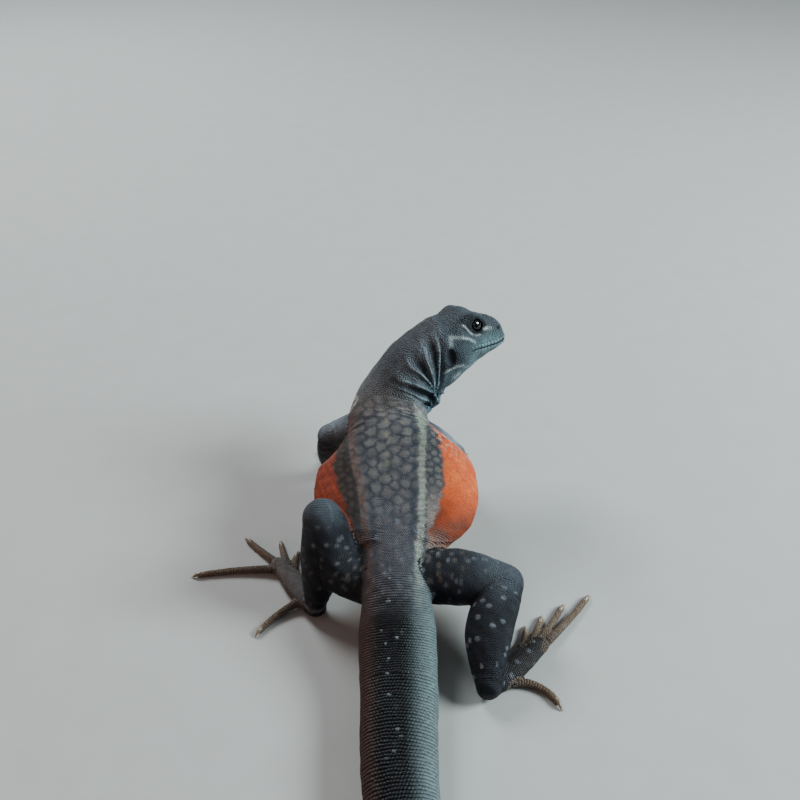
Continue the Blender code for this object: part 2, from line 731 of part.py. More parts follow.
def trunk_cutters():
    """The torso, the neck and the tail's root, grown by the gap, to trim the limbs with."""
    torso = body_rings(TAIL_PARTS[-1], NECK_START, TORSO_STEP, BODY_SIDES, GAP)
    neck = body_rings(NECK_START, NECK_END, NECK_CUTTER_STEP, BODY_SIDES, GAP)
    tail = body_rings(TAIL_PARTS[-2], TAIL_PARTS[-1], TAIL_STEP, TAIL_SIDES, GAP)
    return [loft("torso_cutter", torso), loft("neck_cutter", neck), loft("tail_cutter", tail)]


def finish(piece, collection, material_name):
    """Put a piece in the model's collection with its own material and smooth shading."""
    colour, roughness = MATERIALS[material_name]
    material = bpy.data.materials.new(piece.name + "_" + material_name)
    material.use_nodes = True
    shader = material.node_tree.nodes["Principled BSDF"]
    shader.inputs["Base Color"].default_value = (*colour, 1.0)
    shader.inputs["Roughness"].default_value = roughness
    piece.data.materials.clear()
    piece.data.materials.append(material)
    piece.data.shade_smooth()
    piece.data.set_sharp_from_angle(angle=math.radians(50))
    for other in list(piece.users_collection):
        other.objects.unlink(piece)
    collection.objects.link(piece)


def centre_on_floor(pieces):
    """Move the whole animal so that the origin is under the middle of its box."""
    corners = np.array([tuple(vert.co) for piece in pieces for vert in piece.data.vertices])
    low, high = corners.min(axis=0), corners.max(axis=0)
    move = Matrix.Translation((-(low[0] + high[0]) / 2, -(low[1] + high[1]) / 2, -low[2]))
    for piece in pieces:
        piece.data.transform(move)


def material_for(name):
    """Which finish a piece has."""
    if name.startswith("eye"):
        return "eye_clear"
    if name.startswith(("foot", "hand")):
        return "skin_foot"
    if name.startswith(("torso", "neck")):
        return "skin_trunk"
    return "skin_head" if name == "head" else "skin_dark"


def build_lizard():
    """Make every piece of the animal and stand it on the floor."""
    for old in list(bpy.data.objects):
        discard(old)
    collection = bpy.data.collections.new(COLLECTION_NAME)
    bpy.context.scene.collection.children.link(collection)
    pieces = make_body() + [make_head(), eyeball(1), eyeball(-1)]
    for side in (LEFT, RIGHT):
        pieces += make_hind_leg(side, trunk_cutters)
        pieces += make_fore_leg(side, trunk_cutters)
    for piece in pieces:
        finish(piece, collection, material_for(piece.name))
    centre_on_floor(pieces)


build_lizard()
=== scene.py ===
# %% [markdown]
# # A red-banded butterfly lizard, life size, dressed for a museum case
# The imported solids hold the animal's size and pose. This lesson dresses them: one skin without a
# seam goes over all of them, tens of thousands of small scales go on the skin, and the eyes and
# claws are pieces of their own. Every cell prints what it made, so that a learner can follow it.

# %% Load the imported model
import math
import time

import bmesh
import bpy
import numpy as np
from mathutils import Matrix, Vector
from mathutils.bvhtree import BVHTree
from mathutils.kdtree import KDTree


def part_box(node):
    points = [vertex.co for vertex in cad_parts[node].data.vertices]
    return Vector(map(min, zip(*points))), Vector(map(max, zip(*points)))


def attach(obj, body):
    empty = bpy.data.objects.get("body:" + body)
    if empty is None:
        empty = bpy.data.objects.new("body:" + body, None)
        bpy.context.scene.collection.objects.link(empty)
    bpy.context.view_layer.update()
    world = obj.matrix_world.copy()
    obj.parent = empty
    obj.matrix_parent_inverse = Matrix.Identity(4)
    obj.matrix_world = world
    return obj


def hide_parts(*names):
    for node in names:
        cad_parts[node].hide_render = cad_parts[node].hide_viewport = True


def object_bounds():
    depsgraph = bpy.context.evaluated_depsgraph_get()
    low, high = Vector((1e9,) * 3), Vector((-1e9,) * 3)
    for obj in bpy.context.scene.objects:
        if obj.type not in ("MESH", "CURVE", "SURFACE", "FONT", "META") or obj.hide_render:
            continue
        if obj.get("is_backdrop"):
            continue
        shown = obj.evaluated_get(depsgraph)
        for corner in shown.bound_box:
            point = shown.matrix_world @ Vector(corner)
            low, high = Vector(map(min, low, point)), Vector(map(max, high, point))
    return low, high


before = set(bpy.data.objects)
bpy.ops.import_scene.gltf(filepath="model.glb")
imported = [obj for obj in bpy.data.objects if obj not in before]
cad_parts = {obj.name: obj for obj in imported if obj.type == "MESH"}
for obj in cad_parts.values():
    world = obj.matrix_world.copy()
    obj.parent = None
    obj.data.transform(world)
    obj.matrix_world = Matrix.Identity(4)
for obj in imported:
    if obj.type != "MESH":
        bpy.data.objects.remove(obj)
cad_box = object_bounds()
started = time.time()


def clock():
    """The time since the start, for the cells' messages."""
    return f"{time.time() - started:.1f} s"


print("nodes:", sorted(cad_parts))

# %% [markdown]
# ## The animal's sizes
# A taxidermist starts from measurements, and so does this script. The sizes are the ones that the
# solids were built from, in millimetres, with the hips over the origin: right, forward, up. One
# line of places is the spine, and a table gives the girth at each of them. Repeating these sizes
# here lets the skin be drawn much finer than the solids, and still lie exactly inside them.

# %% Sizes of the spine and the girth
MM = 0.001
FLOOR_FLAT = 0.25
NAPE = (12.3, 85.7, 58.5)
HEAD_FORWARD = (0.937, 0.341, -0.070)
HEAD_UP = (-0.085, 0.418, 0.902)
TAIL_LENGTH = 262.0
TAIL_LANDS = 45.0
TAIL_SWING = math.radians(24)
TAIL_KNOTS = 16
NECK_START = 76.0
NECK_END = 103.0
# Place along the spine, and right, forward and up.
SPINE = (
    (-45.0, (-0.3, -44.0, 7.5)),
    (-32.0, (-0.5, -31.2, 9.3)),
    (-20.0, (-0.8, -19.7, 13.0)),
    (-10.0, (-1.2, -10.0, 17.0)),
    (0.0, (-1.6, 0.0, 20.0)),
    (23.0, (-1.3, 22.6, 25.1)),
    (46.0, (-1.9, 45.2, 30.4)),
    (70.0, (-4.5, 68.2, 35.7)),
    (81.0, (-2.2, 75.9, 42.6)),
    (92.0, (4.2, 81.3, 51.7)),
    (103.0, NAPE),
)
# Place along the spine, half width, height over and under the centre, sharpness of the edge.
GIRTH = (
    (-262.0, 0.5, 0.5, 0.5, 0.0),
    (-240.0, 1.9, 1.7, 1.7, 0.0),
    (-200.0, 3.6, 3.1, 3.1, 0.0),
    (-150.0, 6.2, 4.8, 4.8, 0.0),
    (-110.0, 8.9, 6.3, 6.3, 0.0),
    (-75.0, 11.3, 7.3, 7.3, 0.0),
    (-45.0, 12.4, 7.8, 7.8, 0.0),
    (-20.0, 13.0, 8.3, 8.2, 0.0),
    (0.0, 11.6, 8.7, 8.4, 0.0),
    (7.0, 13.0, 9.0, 8.8, 0.2),
    (12.0, 20.5, 9.2, 9.0, 0.6),
    (18.0, 26.3, 9.4, 8.6, 0.9),
    (27.0, 30.0, 9.7, 8.4, 1.0),
    (37.0, 30.6, 9.9, 8.6, 1.0),
    (47.0, 28.6, 10.1, 9.2, 1.0),
    (56.0, 21.5, 10.6, 10.3, 0.7),
    (64.0, 16.8, 10.9, 10.9, 0.3),
    (72.0, 15.7, 11.2, 11.8, 0.0),
    (82.0, 13.8, 11.3, 15.2, 0.0),
    (93.0, 13.2, 11.0, 19.2, 0.0),
    (103.0, 12.8, 10.9, 19.0, 0.0),
)
print("spine", SPINE[-1][0] + TAIL_LENGTH, "mm from tail tip to nape")

# %% [markdown]
# The head has an axis of its own, because it is turned away from the body. Swellings and hollows
# are added to its sides one by one: brow, orbit, edge of the snout, jaw muscle, temple, and the
# ridge under the eye. A short list of bumps is easier to judge and to mend than a sculpted mesh.

# %% Sizes of the head
HEAD_LENGTH = 31.0
# Place in front of the nape, half width, height over and under the axis.
HEAD_GIRTH = (
    (0.0, 12.8, 10.9, 19.0),
    (4.5, 12.9, 11.8, 18.3),
    (9.5, 12.4, 14.6, 14.7),
    (14.0, 11.1, 13.6, 11.6),
    (18.0, 9.8, 11.2, 9.0),
    (22.0, 8.3, 9.9, 7.3),
    (25.0, 7.2, 9.0, 6.0),
    (28.0, 5.9, 7.4, 4.6),
    (29.8, 4.6, 5.4, 3.4),
    (30.7, 3.1, 3.4, 2.3),
)
HEAD_SQUARE = 0.86
# Place forward and up, reach forward and up, and how far the side swells or sinks.
HEAD_RELIEF = (
    (15.8, 9.5, 5.2, 1.4, 1.7),
    (16.3, 5.6, 4.3, 2.7, -1.45),
    (22.8, 6.6, 3.4, 1.2, 0.7),
    (22.8, 3.2, 3.0, 1.6, -0.6),
    (8.8, -4.8, 3.8, 3.8, 1.2),
    (7.6, 7.6, 3.6, 2.8, 0.45),
    (11.0, 1.8, 4.4, 1.0, 0.55),
)
EYE_PLACE = (16.1, 5.9)
EYE_RADIUS = 3.35
EYE_SUNK = 2.9
EYE_TURN = (0.20, 0.10)
LID_OPENING = (2.8, 2.4)
LID_DEPTHS = (1.2, 7.0)
LID_THICKNESS = 0.75
SOCKET_GAP = 0.1
NOSTRIL_PLACE = (27.3, 3.9)
NOSTRIL_SIZE = (0.8, 0.9, 0.65)
EAR_PLACE = (3.0, -5.2)
EAR_SIZE = (2.0, 1.5, 4.0)
MOUTH_CORNER = (12.6, -3.4)
MOUTH_FRONT = (30.3, -0.2)
MOUTH_SAG = 0.7
MOUTH_GROOVE = 0.42
MOUTH_DEPTH = 0.9
LIP_OFFSET = 0.9
LIP_RADIUS = 0.6
LIP_END = 0.3
LIP_SUNK = 0.25
SNOUT_TIP_LIFT = 0.8
print("head", HEAD_LENGTH, "mm long,", 2 * max(row[1] for row in HEAD_GIRTH), "mm wide")

# %% [markdown]
# Each limb is a line through its joints with a half thickness at a few knots. The toes are given
# from the first to the fifth, by length, heading, bend and where they leave the sole. The fourth
# hind toe is by far the longest, as on every lizard of this family.

# %% Sizes of the limbs
HIND_JOINTS = {
    "left": {"hip": (-9.5, -1.5, 14.5), "knee": (-27.2, 14.5, 31.5), "heel": (-29.8, -1.5, 5.6)},
    "right": {"hip": (5.6, 1.2, 16.4), "knee": (35.2, -4.4, 18.8), "heel": (28.4, -35.6, 5.6)},
}
FORE_JOINTS = {
    "left": {"shoulder": (-9.5, 71.0, 31.0), "elbow": (-28.4, 68.0, 26.0), "wrist": (-29.6, 73.0, 6.0)},
    "right": {"shoulder": (6.5, 66.5, 29.5), "elbow": (21.2, 59.2, 23.5), "wrist": (18.6, 74.5, 5.5)},
}
THIGH_BOW = {"left": (-2.5, -2.5, -4.0), "right": (0.0, 0.8, 0.8)}
SHANK_BOW = {"left": (1.0, -1.0, 0.0), "right": (-2.4, 0.0, 0.0)}
THIGH_RADII = {"left": (7.5, 8.6, 8.8, 7.6), "right": (9.2, 10.4, 9.4, 7.6)}
SHANK_RADII = {"left": (7.3, 8.7, 6.4, 4.2), "right": (7.5, 9.2, 7.1, 4.7)}
UPPER_ARM_BOW = (0.0, 0.0, 0.6)
FOREARM_BOW = (0.0, -0.6, 0.0)
UPPER_ARM_RADII = (6.6, 6.4, 5.9, 5.2)
FOREARM_RADII = (5.2, 5.6, 4.5, 3.3)
FOOT_LENGTH = 27.0
FOOT_HEADING = {"left": -35.0, "right": 45.5}
# Length, heading, bend, where along the sole the toe leaves it, and how far to its right.
HIND_TOES = {
    "left": (
        (8.5, 2.0, 20.0, 0.80, 3.1),
        (13.5, -18.0, 10.0, 0.88, 2.2),
        (21.0, -46.0, 4.0, 0.92, 0.8),
        (30.0, -93.0, -18.0, 0.91, -1.0),
        (18.0, -132.0, -30.0, 0.24, -2.6),
    ),
    "right": (
        (8.5, 14.0, -20.0, 0.80, -3.1),
        (13.5, 25.0, -10.0, 0.88, -2.2),
        (21.5, 34.0, -6.0, 0.92, -0.8),
        (31.5, 41.0, -8.0, 0.91, 1.0),
        (19.0, 110.0, 88.0, 0.24, 2.4),
    ),
}
HAND_LENGTH = 9.0
HAND_HEADING = {"left": 26.0, "right": -6.0}
HAND_TOES = (
    (6.5, 58.0, 10.0, 0.75, 3.2),
    (9.5, 28.0, 6.0, 0.95, 2.4),
    (12.0, 3.0, 0.0, 1.00, 0.2),
    (11.5, -24.0, -6.0, 0.95, -2.2),
    (8.0, -56.0, -12.0, 0.72, -3.2),
)
HIND_SOLE = {"radii": (4.3, 4.7, 4.5, 3.4), "flat": 0.72, "arch": -0.4, "start": 3.6,
             "knuckles": 2.2, "toe": 1.35}
FORE_SOLE = {"radii": (2.9, 3.6, 4.0), "flat": 0.66, "arch": 0.2, "start": 3.0,
             "knuckles": 1.9, "toe": 1.1}
ROOT_SINK = 0.4
TOE_STEPS = 4
TOE_TAPER = 0.22
TOE_REST = 0.84
TOE_SHARES = (1.4, 1.12, 1.0, 0.93, 0.82)
CLAW_TURN = 0.6
CLAW_LENGTH = 3.2
print("longest toe", max(toe[0] for toe in HIND_TOES["right"]) + CLAW_LENGTH, "mm with its claw")

# %% [markdown]
# ## Lines and rings
# The body is a loft: rings of points set across a smooth line. Numpy handles all the places of a
# loft at once, which keeps a script with half a million points quick. The same cubic curve as in
# the solids runs through the knots, so both surfaces agree to a hundredth of a millimetre.


# %% Curves and directions
def unit(vectors):
    """Vectors scaled to length one."""
    vectors = np.asarray(vectors, dtype=float)
    return vectors / np.linalg.norm(vectors, axis=-1, keepdims=True)


def rise(low, high, value):
    """0 below low, 1 above high, and a smooth rise between them."""
    share = np.clip((np.asarray(value, dtype=float) - low) / (high - low), 0, 1)
    return share * share * (3 - 2 * share)


def bump(value, middle, reach):
    """1 at the middle, falling off smoothly on both sides."""
    return np.exp(-(((np.asarray(value, dtype=float) - middle) / reach) ** 2))


def signed_power(value, exponent):
    """The value's size to a power, with its sign kept."""
    return np.sign(value) * np.abs(value) ** exponent


def mix(first, second, share):
    """First where the share is 0, second where it is 1."""
    share = np.asarray(share, dtype=float)[..., None]
    return np.asarray(first, dtype=float) * (1 - share) + np.asarray(second, dtype=float) * share


def distance(places, centre):
    """How far places are from one place."""
    return np.linalg.norm(places - np.array(centre), axis=1)


def tape_along(line):
    """Lengths from the start of a line to each of its places."""
    return np.concatenate([[0], np.cumsum(np.linalg.norm(np.diff(line, axis=0), axis=1))])


def read_along(at, tape, line):
    """Places at lengths along a line that a tape has measured."""
    return np.stack([np.interp(at, tape, line[:, k]) for k in range(3)], axis=1)


def curve_through(knots, values, where):
    """A smooth cubic through the values at the knots, read at many places."""
    knots = np.asarray(knots, dtype=float)
    values = np.asarray(values, dtype=float)
    slopes = np.gradient(values, knots, axis=0)
    where = np.clip(np.atleast_1d(where).astype(float), knots[0], knots[-1])
    i = np.clip(np.searchsorted(knots, where, side="right") - 1, 0, len(knots) - 2)
    span = (knots[i + 1] - knots[i])[:, None]
    t = (where - knots[i])[:, None] / span
    start = (2 * t**3 - 3 * t**2 + 1) * values[i] + (t**3 - 2 * t**2 + t) * span * slopes[i]
    end = (3 * t**2 - 2 * t**3) * values[i + 1] + (t**3 - t**2) * span * slopes[i + 1]
    return start + end


def read_table(table, at):
    """The columns of a table at many places along its first column."""
    rows = np.array(table)
    return curve_through(rows[:, 0], rows[:, 1:], at)


def girth_at(s):
    """Half width, height over and under the centre, and edge sharpness of the body."""
    return read_table(GIRTH, s)


def tail_knots():
    """Places of the tail on the floor, walked back from where it lands, farthest first."""
    step = (TAIL_LENGTH - TAIL_LANDS) / TAIL_KNOTS
    x, y, _ = SPINE[0][1]
    knots = []
    for i in range(TAIL_KNOTS):
        share = (i + 0.5) / TAIL_KNOTS
        heading = TAIL_SWING * math.sin(2 * math.pi * share**1.3) * float(rise(0, 0.3, share))
        x += math.sin(heading) * step
        y -= math.cos(heading) * step
        s = -TAIL_LANDS - (i + 1) * step
        knots.append((s, (x, y, girth_at(s)[0][2] - FLOOR_FLAT)))
    return knots[::-1]


SPINE_KNOTS = tail_knots() + list(SPINE)
SPINE_S = np.array([knot[0] for knot in SPINE_KNOTS])
SPINE_XYZ = np.array([knot[1] for knot in SPINE_KNOTS])
print("spine knots", len(SPINE_KNOTS), "tail tip at", SPINE_XYZ[0].round(1))


# %% Rings of the body
def spine_frame(s):
    """Centre, right and up of the body's sections at s."""
    centre = curve_through(SPINE_S, SPINE_XYZ, s)
    tangent = unit(curve_through(SPINE_S, SPINE_XYZ, s + 1) - curve_through(SPINE_S, SPINE_XYZ, s - 1))
    tangent = unit(mix(tangent, HEAD_FORWARD, rise(86, NECK_END, s)))
    up = mix(np.tile((0.0, 0.0, 1.0), (len(s), 1)), HEAD_UP, rise(70, NECK_END, s))
    right = unit(np.cross(tangent, up))
    return centre, right, np.cross(right, tangent)


def section(centre, right, up, size, angles, square=1.0):
    """Rings of points: for each centre, one point at every angle."""
    width, top, bottom, edge = (np.asarray(column)[:, None] for column in size)
    square = np.asarray(square, dtype=float).reshape(-1, 1)
    across = width * signed_power(np.cos(angles)[None, :], square * (1 - 0.2 * edge))
    lift = signed_power(np.sin(angles)[None, :], square * (1 + 0.45 * edge))
    tall = lift * np.where(lift > 0, top, bottom)
    return centre[:, None] + right[:, None] * across[..., None] + up[:, None] * tall[..., None]


def body_rings(s, angles):
    """The body's rings at many places along the spine."""
    centre, right, up = spine_frame(s)
    return section(centre, right, up, girth_at(s).T, angles)


def circle(sides):
    """Angles evenly round a ring, from its right side upwards."""
    return np.arange(sides) * (2 * math.pi / sides)


BODY_SIDES = 176
BODY_STEP = 0.9
body_s = np.arange(-TAIL_LENGTH, NECK_END + 0.01, BODY_STEP)
body = {"name": "body", "rows": body_s, "rings": body_rings(body_s, circle(BODY_SIDES))}
print("body rings", body["rings"].shape)

# %% [markdown]
# The head's rings run along its own axes. `head_local` turns a place given from the nape, forward,
# right and up, into a place on the animal, and `head_coordinates` goes the other way. Lids, lips
# and colours are all placed with these two, so they stay where they belong if the head turns.

# %% Rings of the head
FORWARD = unit(HEAD_FORWARD)
RIGHT = unit(np.cross(FORWARD, HEAD_UP))
UP = np.cross(RIGHT, FORWARD)


def head_local(x, y, z):
    """Places given along the head's own axes."""
    x, y, z = (np.asarray(value, dtype=float)[..., None] for value in (x, y, z))
    return np.array(NAPE) + FORWARD * x + RIGHT * y + UP * z


def head_coordinates(places):
    """How far places lie in front of the nape, to the head's right, and up."""
    away = np.asarray(places, dtype=float) - np.array(NAPE)
    return away @ FORWARD, away @ RIGHT, away @ UP


def head_size(x):
    """Half width and height over and under the axis."""
    return read_table(HEAD_GIRTH, x)


def head_relief(x, z):
    """How far the head's side stands out from its plain form."""
    total = np.zeros(np.broadcast(x, z).shape)
    for place_x, place_z, reach_x, reach_z, amount in HEAD_RELIEF:
        total = total + amount * bump(x, place_x, reach_x) * bump(z, place_z, reach_z)
    return total


def head_side(x, z, side, out=0.0):
    """Places on the head's surface, on the right (1) or left (-1), pushed out."""
    x, z = np.atleast_1d(x).astype(float), np.atleast_1d(z).astype(float)
    width, top, bottom = head_size(x).T
    lift = np.minimum(0.999, np.abs(z) / np.where(z > 0, top, bottom)) ** (1 / HEAD_SQUARE)
    across = width * np.sqrt(1 - lift * lift) ** HEAD_SQUARE
    return head_local(x, side * (across + head_relief(x, z) + out), z)


def head_rings(x, angles):
    """The head's rings, with its relief."""
    width, top, bottom = head_size(x).T
    centre = head_local(x, 0 * x, 0 * x)
    square = 1 + (HEAD_SQUARE - 1) * rise(2, 12, x)
    axes = [np.tile(axis, (len(x), 1)) for axis in (RIGHT, UP)]
    rings = section(centre, *axes, (width, top, bottom, 0 * x), angles, square)
    away = rings - centre[:, None]
    share = np.minimum(1.0, np.abs(away @ RIGHT) / (0.45 * width[:, None]))
    relief = head_relief(x[:, None], away @ UP) * rise(0, 3, x)[:, None] * share
    return rings + unit(away) * relief[..., None]


HEAD_SIDES = 112
NECK_OVERLAP = np.array([97.0, 99.0, 101.0])
head_x = np.arange(0.0, HEAD_GIRTH[-1][0] + 0.01, 0.5)
overlap = body_rings(NECK_OVERLAP, circle(HEAD_SIDES))
overlap_middle = overlap.mean(axis=1, keepdims=True)
head_s = np.concatenate([NECK_OVERLAP, NECK_END + head_x])
rings = [overlap_middle + 0.9 * (overlap - overlap_middle), head_rings(head_x, circle(HEAD_SIDES))]
rings = np.concatenate(rings)
head = {"name": "head", "rows": head_s, "rings": rings,
        "tip": head_local(HEAD_LENGTH, 0, MOUTH_FRONT[1] + SNOUT_TIP_LIFT)}
print("head rings", rings.shape)


# %% Rings of the limbs and toes
def between(first, last, share, lift=(0, 0, 0)):
    """A place between two others, moved by a small lift."""
    return tuple(a + (b - a) * share + c for a, b, c in zip(first, last, lift))


def tube(name, points, radii, sides, step=0.5, flat=1.0):
    """Rings along a smooth line through a limb's joints, with round ends."""
    knots = np.arange(len(points), dtype=float)
    sizes = np.interp(np.linspace(0, 1, len(points)), np.linspace(0, 1, len(radii)), radii)
    length = sum(math.dist(a, b) for a, b in zip(points, points[1:]))
    t = np.linspace(0, knots[-1], max(8, round(length / step)))
    centre = curve_through(knots, points, t)
    ahead = curve_through(knots, points, np.minimum(t + 0.05, knots[-1]))
    tangent = unit(ahead - curve_through(knots, points, np.maximum(t - 0.05, 0)))
    radius = curve_through(knots, sizes[:, None], t)[:, 0]
    cap = np.radians(np.arange(12, 85, 12))
    start, end = np.zeros(len(cap), dtype=int), np.full(len(cap), len(t) - 1)
    order = np.concatenate([start, np.arange(len(t)), end])
    turns = np.concatenate([-cap[::-1], np.zeros(len(t)), cap])
    centre, tangent, radius, t = centre[order], tangent[order], radius[order], t[order]
    centre = centre + tangent * (radius * np.sin(turns))[:, None]
    radius = radius * np.cos(turns)
    right = unit(np.cross(tangent, (0, 0, 1)))
    size = (radius, radius * flat, radius * flat, 0 * radius)
    rings = section(centre, right, np.cross(right, tangent), size, circle(sides))
    rows = (t + 0.01 * turns) / knots[-1]
    return {"name": name, "rows": rows, "rings": rings}


def heading_vector(degrees):
    """The direction on the floor at an angle from straight ahead to the right."""
    return np.array((math.sin(math.radians(degrees)), math.cos(math.radians(degrees)), 0.0))


def limb(name, joints, ends, bow, radii):
    """One stretch of a limb between two joints, bowed a little half way."""
    first, last = joints[ends[0]], joints[ends[1]]
    return tube(name, [first, between(first, last, 0.5, bow), last], radii, 72)


def toe_line(root, length, heading, bend, radius):
    """Places along a toe on the floor, and along the claw at its end."""
    points = [tuple(root)]
    place = np.array(root, dtype=float)
    for i in range(TOE_STEPS):
        share = (i + 0.5) / TOE_STEPS
        place = place + heading_vector(heading + bend * (share - 0.5)) * (length / TOE_STEPS)
        height = radius * (1 - TOE_TAPER * (i + 1) / TOE_STEPS) * TOE_REST
        place[2] = height + (root[2] - height) * (1 - (i + 1) / TOE_STEPS) ** 2
        points.append(tuple(place))
    claw = heading_vector(heading + bend * CLAW_TURN) * CLAW_LENGTH
    return points, claw


def foot_parts(name, joint, heading, length, toes, sole):
    """A sole with its toes, and the claws' roots and directions."""
    ahead, across = heading_vector(heading), heading_vector(heading + 90)
    start = np.array((joint[0], joint[1], sole["start"]))
    knuckles = start + ahead * length
    knuckles[2] = sole["knuckles"]
    line = [tuple(start), between(start, knuckles, 0.5, (0, 0, sole["arch"])), tuple(knuckles)]
    parts = [tube(name, line, sole["radii"], 40, 0.5, sole["flat"])]
    claws = []
    for i, (size, turn, bend, along, off) in enumerate(toes):
        root = start + ahead * (length * along) + across * off
        root[2] = sole["knuckles"] + (start[2] - sole["knuckles"]) * (1 - along) * ROOT_SINK
        radius = sole["toe"]
        points, claw = toe_line(root, size, turn, bend, radius)
        radii = [radius * share for share in TOE_SHARES]
        parts.append(tube(f"{name}_toe{i + 1}", points, radii, 20, 0.4, 0.95))
        claws.append((np.array(points[-1]), claw, radius))
    return parts, claws


limbs = []
claws = []
for side in ("left", "right"):
    hind, fore = HIND_JOINTS[side], FORE_JOINTS[side]
    limbs.append(limb("thigh_" + side, hind, ("hip", "knee"), THIGH_BOW[side], THIGH_RADII[side]))
    limbs.append(limb("shank_" + side, hind, ("knee", "heel"), SHANK_BOW[side], SHANK_RADII[side]))
    limbs.append(limb("upper_arm_" + side, fore, ("shoulder", "elbow"), UPPER_ARM_BOW, UPPER_ARM_RADII))
    limbs.append(limb("forearm_" + side, fore, ("elbow", "wrist"), FOREARM_BOW, FOREARM_RADII))
    mirror = 1 if side == "left" else -1
    hand_toes = [(size, HAND_HEADING[side] + mirror * turn, mirror * bend, along, mirror * off)
                 for size, turn, bend, along, off in HAND_TOES]
    feet = (("foot_", hind["heel"], FOOT_HEADING, FOOT_LENGTH, HIND_TOES[side], HIND_SOLE),
            ("hand_", fore["wrist"], HAND_HEADING, HAND_LENGTH, hand_toes, FORE_SOLE))
    for prefix, joint, headings, length, toes, sole in feet:
        parts, ends = foot_parts(prefix + side, joint, headings[side], length, toes, sole)
        limbs += parts
        claws += ends
print("limb stretches and toes", len(limbs), "claws", len(claws))

# %% [markdown]
# ## From rings to one closed skin
# The rings of head, body and limbs run into each other. A voxel remesh takes such a heap of
# closed shells and gives back their common outer surface as one mesh of small even squares, which
# is how a sculptor fuses clay. The head gets its sockets, lids, lips, nostrils and ears first,
# with Boolean cuts, while its mesh is still small. The design's origin is under the hips and the
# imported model's is under the middle of its box, so one eye's place gives the shift between them.


# %% Helpers for meshes
def head_eye(side):
    """The middle of an eyeball, sunk into the side of the head."""
    return head_side(EYE_PLACE[0], EYE_PLACE[1], side, -EYE_SUNK)[0]


eye_low, eye_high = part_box("eye_right")
SHIFT = np.array((eye_low + eye_high) / 2) / MM - head_eye(1)
SHIFT[2] = 0.0


def add_object(name, data):
    """A new object in the scene."""
    made = bpy.data.objects.new(name, data)
    bpy.context.scene.collection.objects.link(made)
    return made


def make_object(name, places, faces):
    """A mesh object from places in the design's millimetres."""
    data = bpy.data.meshes.new(name)
    data.from_pydata(((np.asarray(places) + SHIFT) * MM).tolist(), [], faces)
    data.shade_smooth()
    return add_object(name, data)


def ring_faces(rows, sides, first=0):
    """Squares between rings of a loft, and a fan of triangles at each end."""
    row, turn = np.meshgrid(np.arange(rows - 1), np.arange(sides), indexing="ij")
    here, after = row * sides + turn, row * sides + (turn + 1) % sides
    corners = [here, after, after + sides, here + sides]
    faces = (np.stack(corners, axis=-1).reshape(-1, 4) + first).tolist()
    start, end = first + rows * sides, first + rows * sides + 1
    last = first + (rows - 1) * sides
    for i in range(sides):
        j = (i + 1) % sides
        faces.append([first + j, first + i, start])
        faces.append([last + i, last + j, end])
    return faces


def loft_places(loft):
    """All places of a loft, with the pole of each end last."""
    rings = loft["rings"]
    tip = loft.get("tip", rings[-1].mean(axis=0))
    return np.concatenate([rings.reshape(-1, 3), [rings[0].mean(axis=0), tip]])


def loft_object(loft):
    """A closed mesh object of a loft."""
    made = make_object(loft["name"], loft_places(loft), ring_faces(*loft["rings"].shape[:2]))
    mesh = bmesh.new()
    mesh.from_mesh(made.data)
    bmesh.ops.recalc_face_normals(mesh, faces=mesh.faces[:])
    mesh.to_mesh(made.data)
    mesh.free()
    return made


def baked(piece):
    """The piece's mesh with its modifiers applied, as new mesh data."""
    graph = bpy.context.evaluated_depsgraph_get()
    graph.update()
    return bpy.data.meshes.new_from_object(piece.evaluated_get(graph))


def apply_modifiers(piece):
    """Turn the piece's modifiers into plain mesh."""
    data = baked(piece)
    piece.modifiers.clear()
    piece.data = data
    return piece


def boolean(piece, others, operation):
    """Join the others to the piece, or cut them out of it, and remove them."""
    tools = bpy.data.collections.new("tools")
    bpy.context.scene.collection.children.link(tools)
    for other in others:
        tools.objects.link(other)
    step = piece.modifiers.new(operation.lower(), "BOOLEAN")
    step.operation = operation
    step.operand_type = "COLLECTION"
    step.collection = tools
    step.solver = "EXACT"
    apply_modifiers(piece)
    for other in others:
        bpy.data.objects.remove(other, do_unlink=True)
    bpy.data.collections.remove(tools)
    return piece


def places_of(data):
    """A mesh's places in the design's millimetres."""
    places = np.empty(len(data.vertices) * 3)
    data.vertices.foreach_get("co", places)
    return places.reshape(-1, 3) / MM - SHIFT


print("shift from the design to the packed model", SHIFT.round(2), "mm")

# %% [markdown]
# An eye of this lizard is a ball sunk deep in the head, under a fleshy brow. Both lids belong to a
# thin mound of skin that follows the ball, with an almond opening cut through it. Cutting the
# opening as a prism with pointed ends gives both corners of the eye at once.


# %% The head's openings
def ball(name, centre, radii, segments=32, rings=20):
    """A ball stretched along the head's axes."""
    turns, lifts = circle(segments), np.linspace(-math.pi / 2, math.pi / 2, rings + 2)[1:-1]
    turn, lift = np.meshgrid(turns, lifts)
    away = [np.cos(lift) * np.cos(turn), np.cos(lift) * np.sin(turn), np.sin(lift)]
    rings_of = sum(part[..., None] * axis * radius
                   for part, axis, radius in zip(away, (FORWARD, RIGHT, UP), radii))
    return loft_object({"name": name, "rings": centre + rings_of, "tip": centre + UP * radii[2]})


def eye_axes(side):
    """The way an eye looks, the line between its corners, and the way across the lids."""
    outward = unit(RIGHT * side + FORWARD * EYE_TURN[0] + UP * EYE_TURN[1])
    along = unit(FORWARD - outward * (FORWARD @ outward))
    return outward, along, np.cross(outward, along)


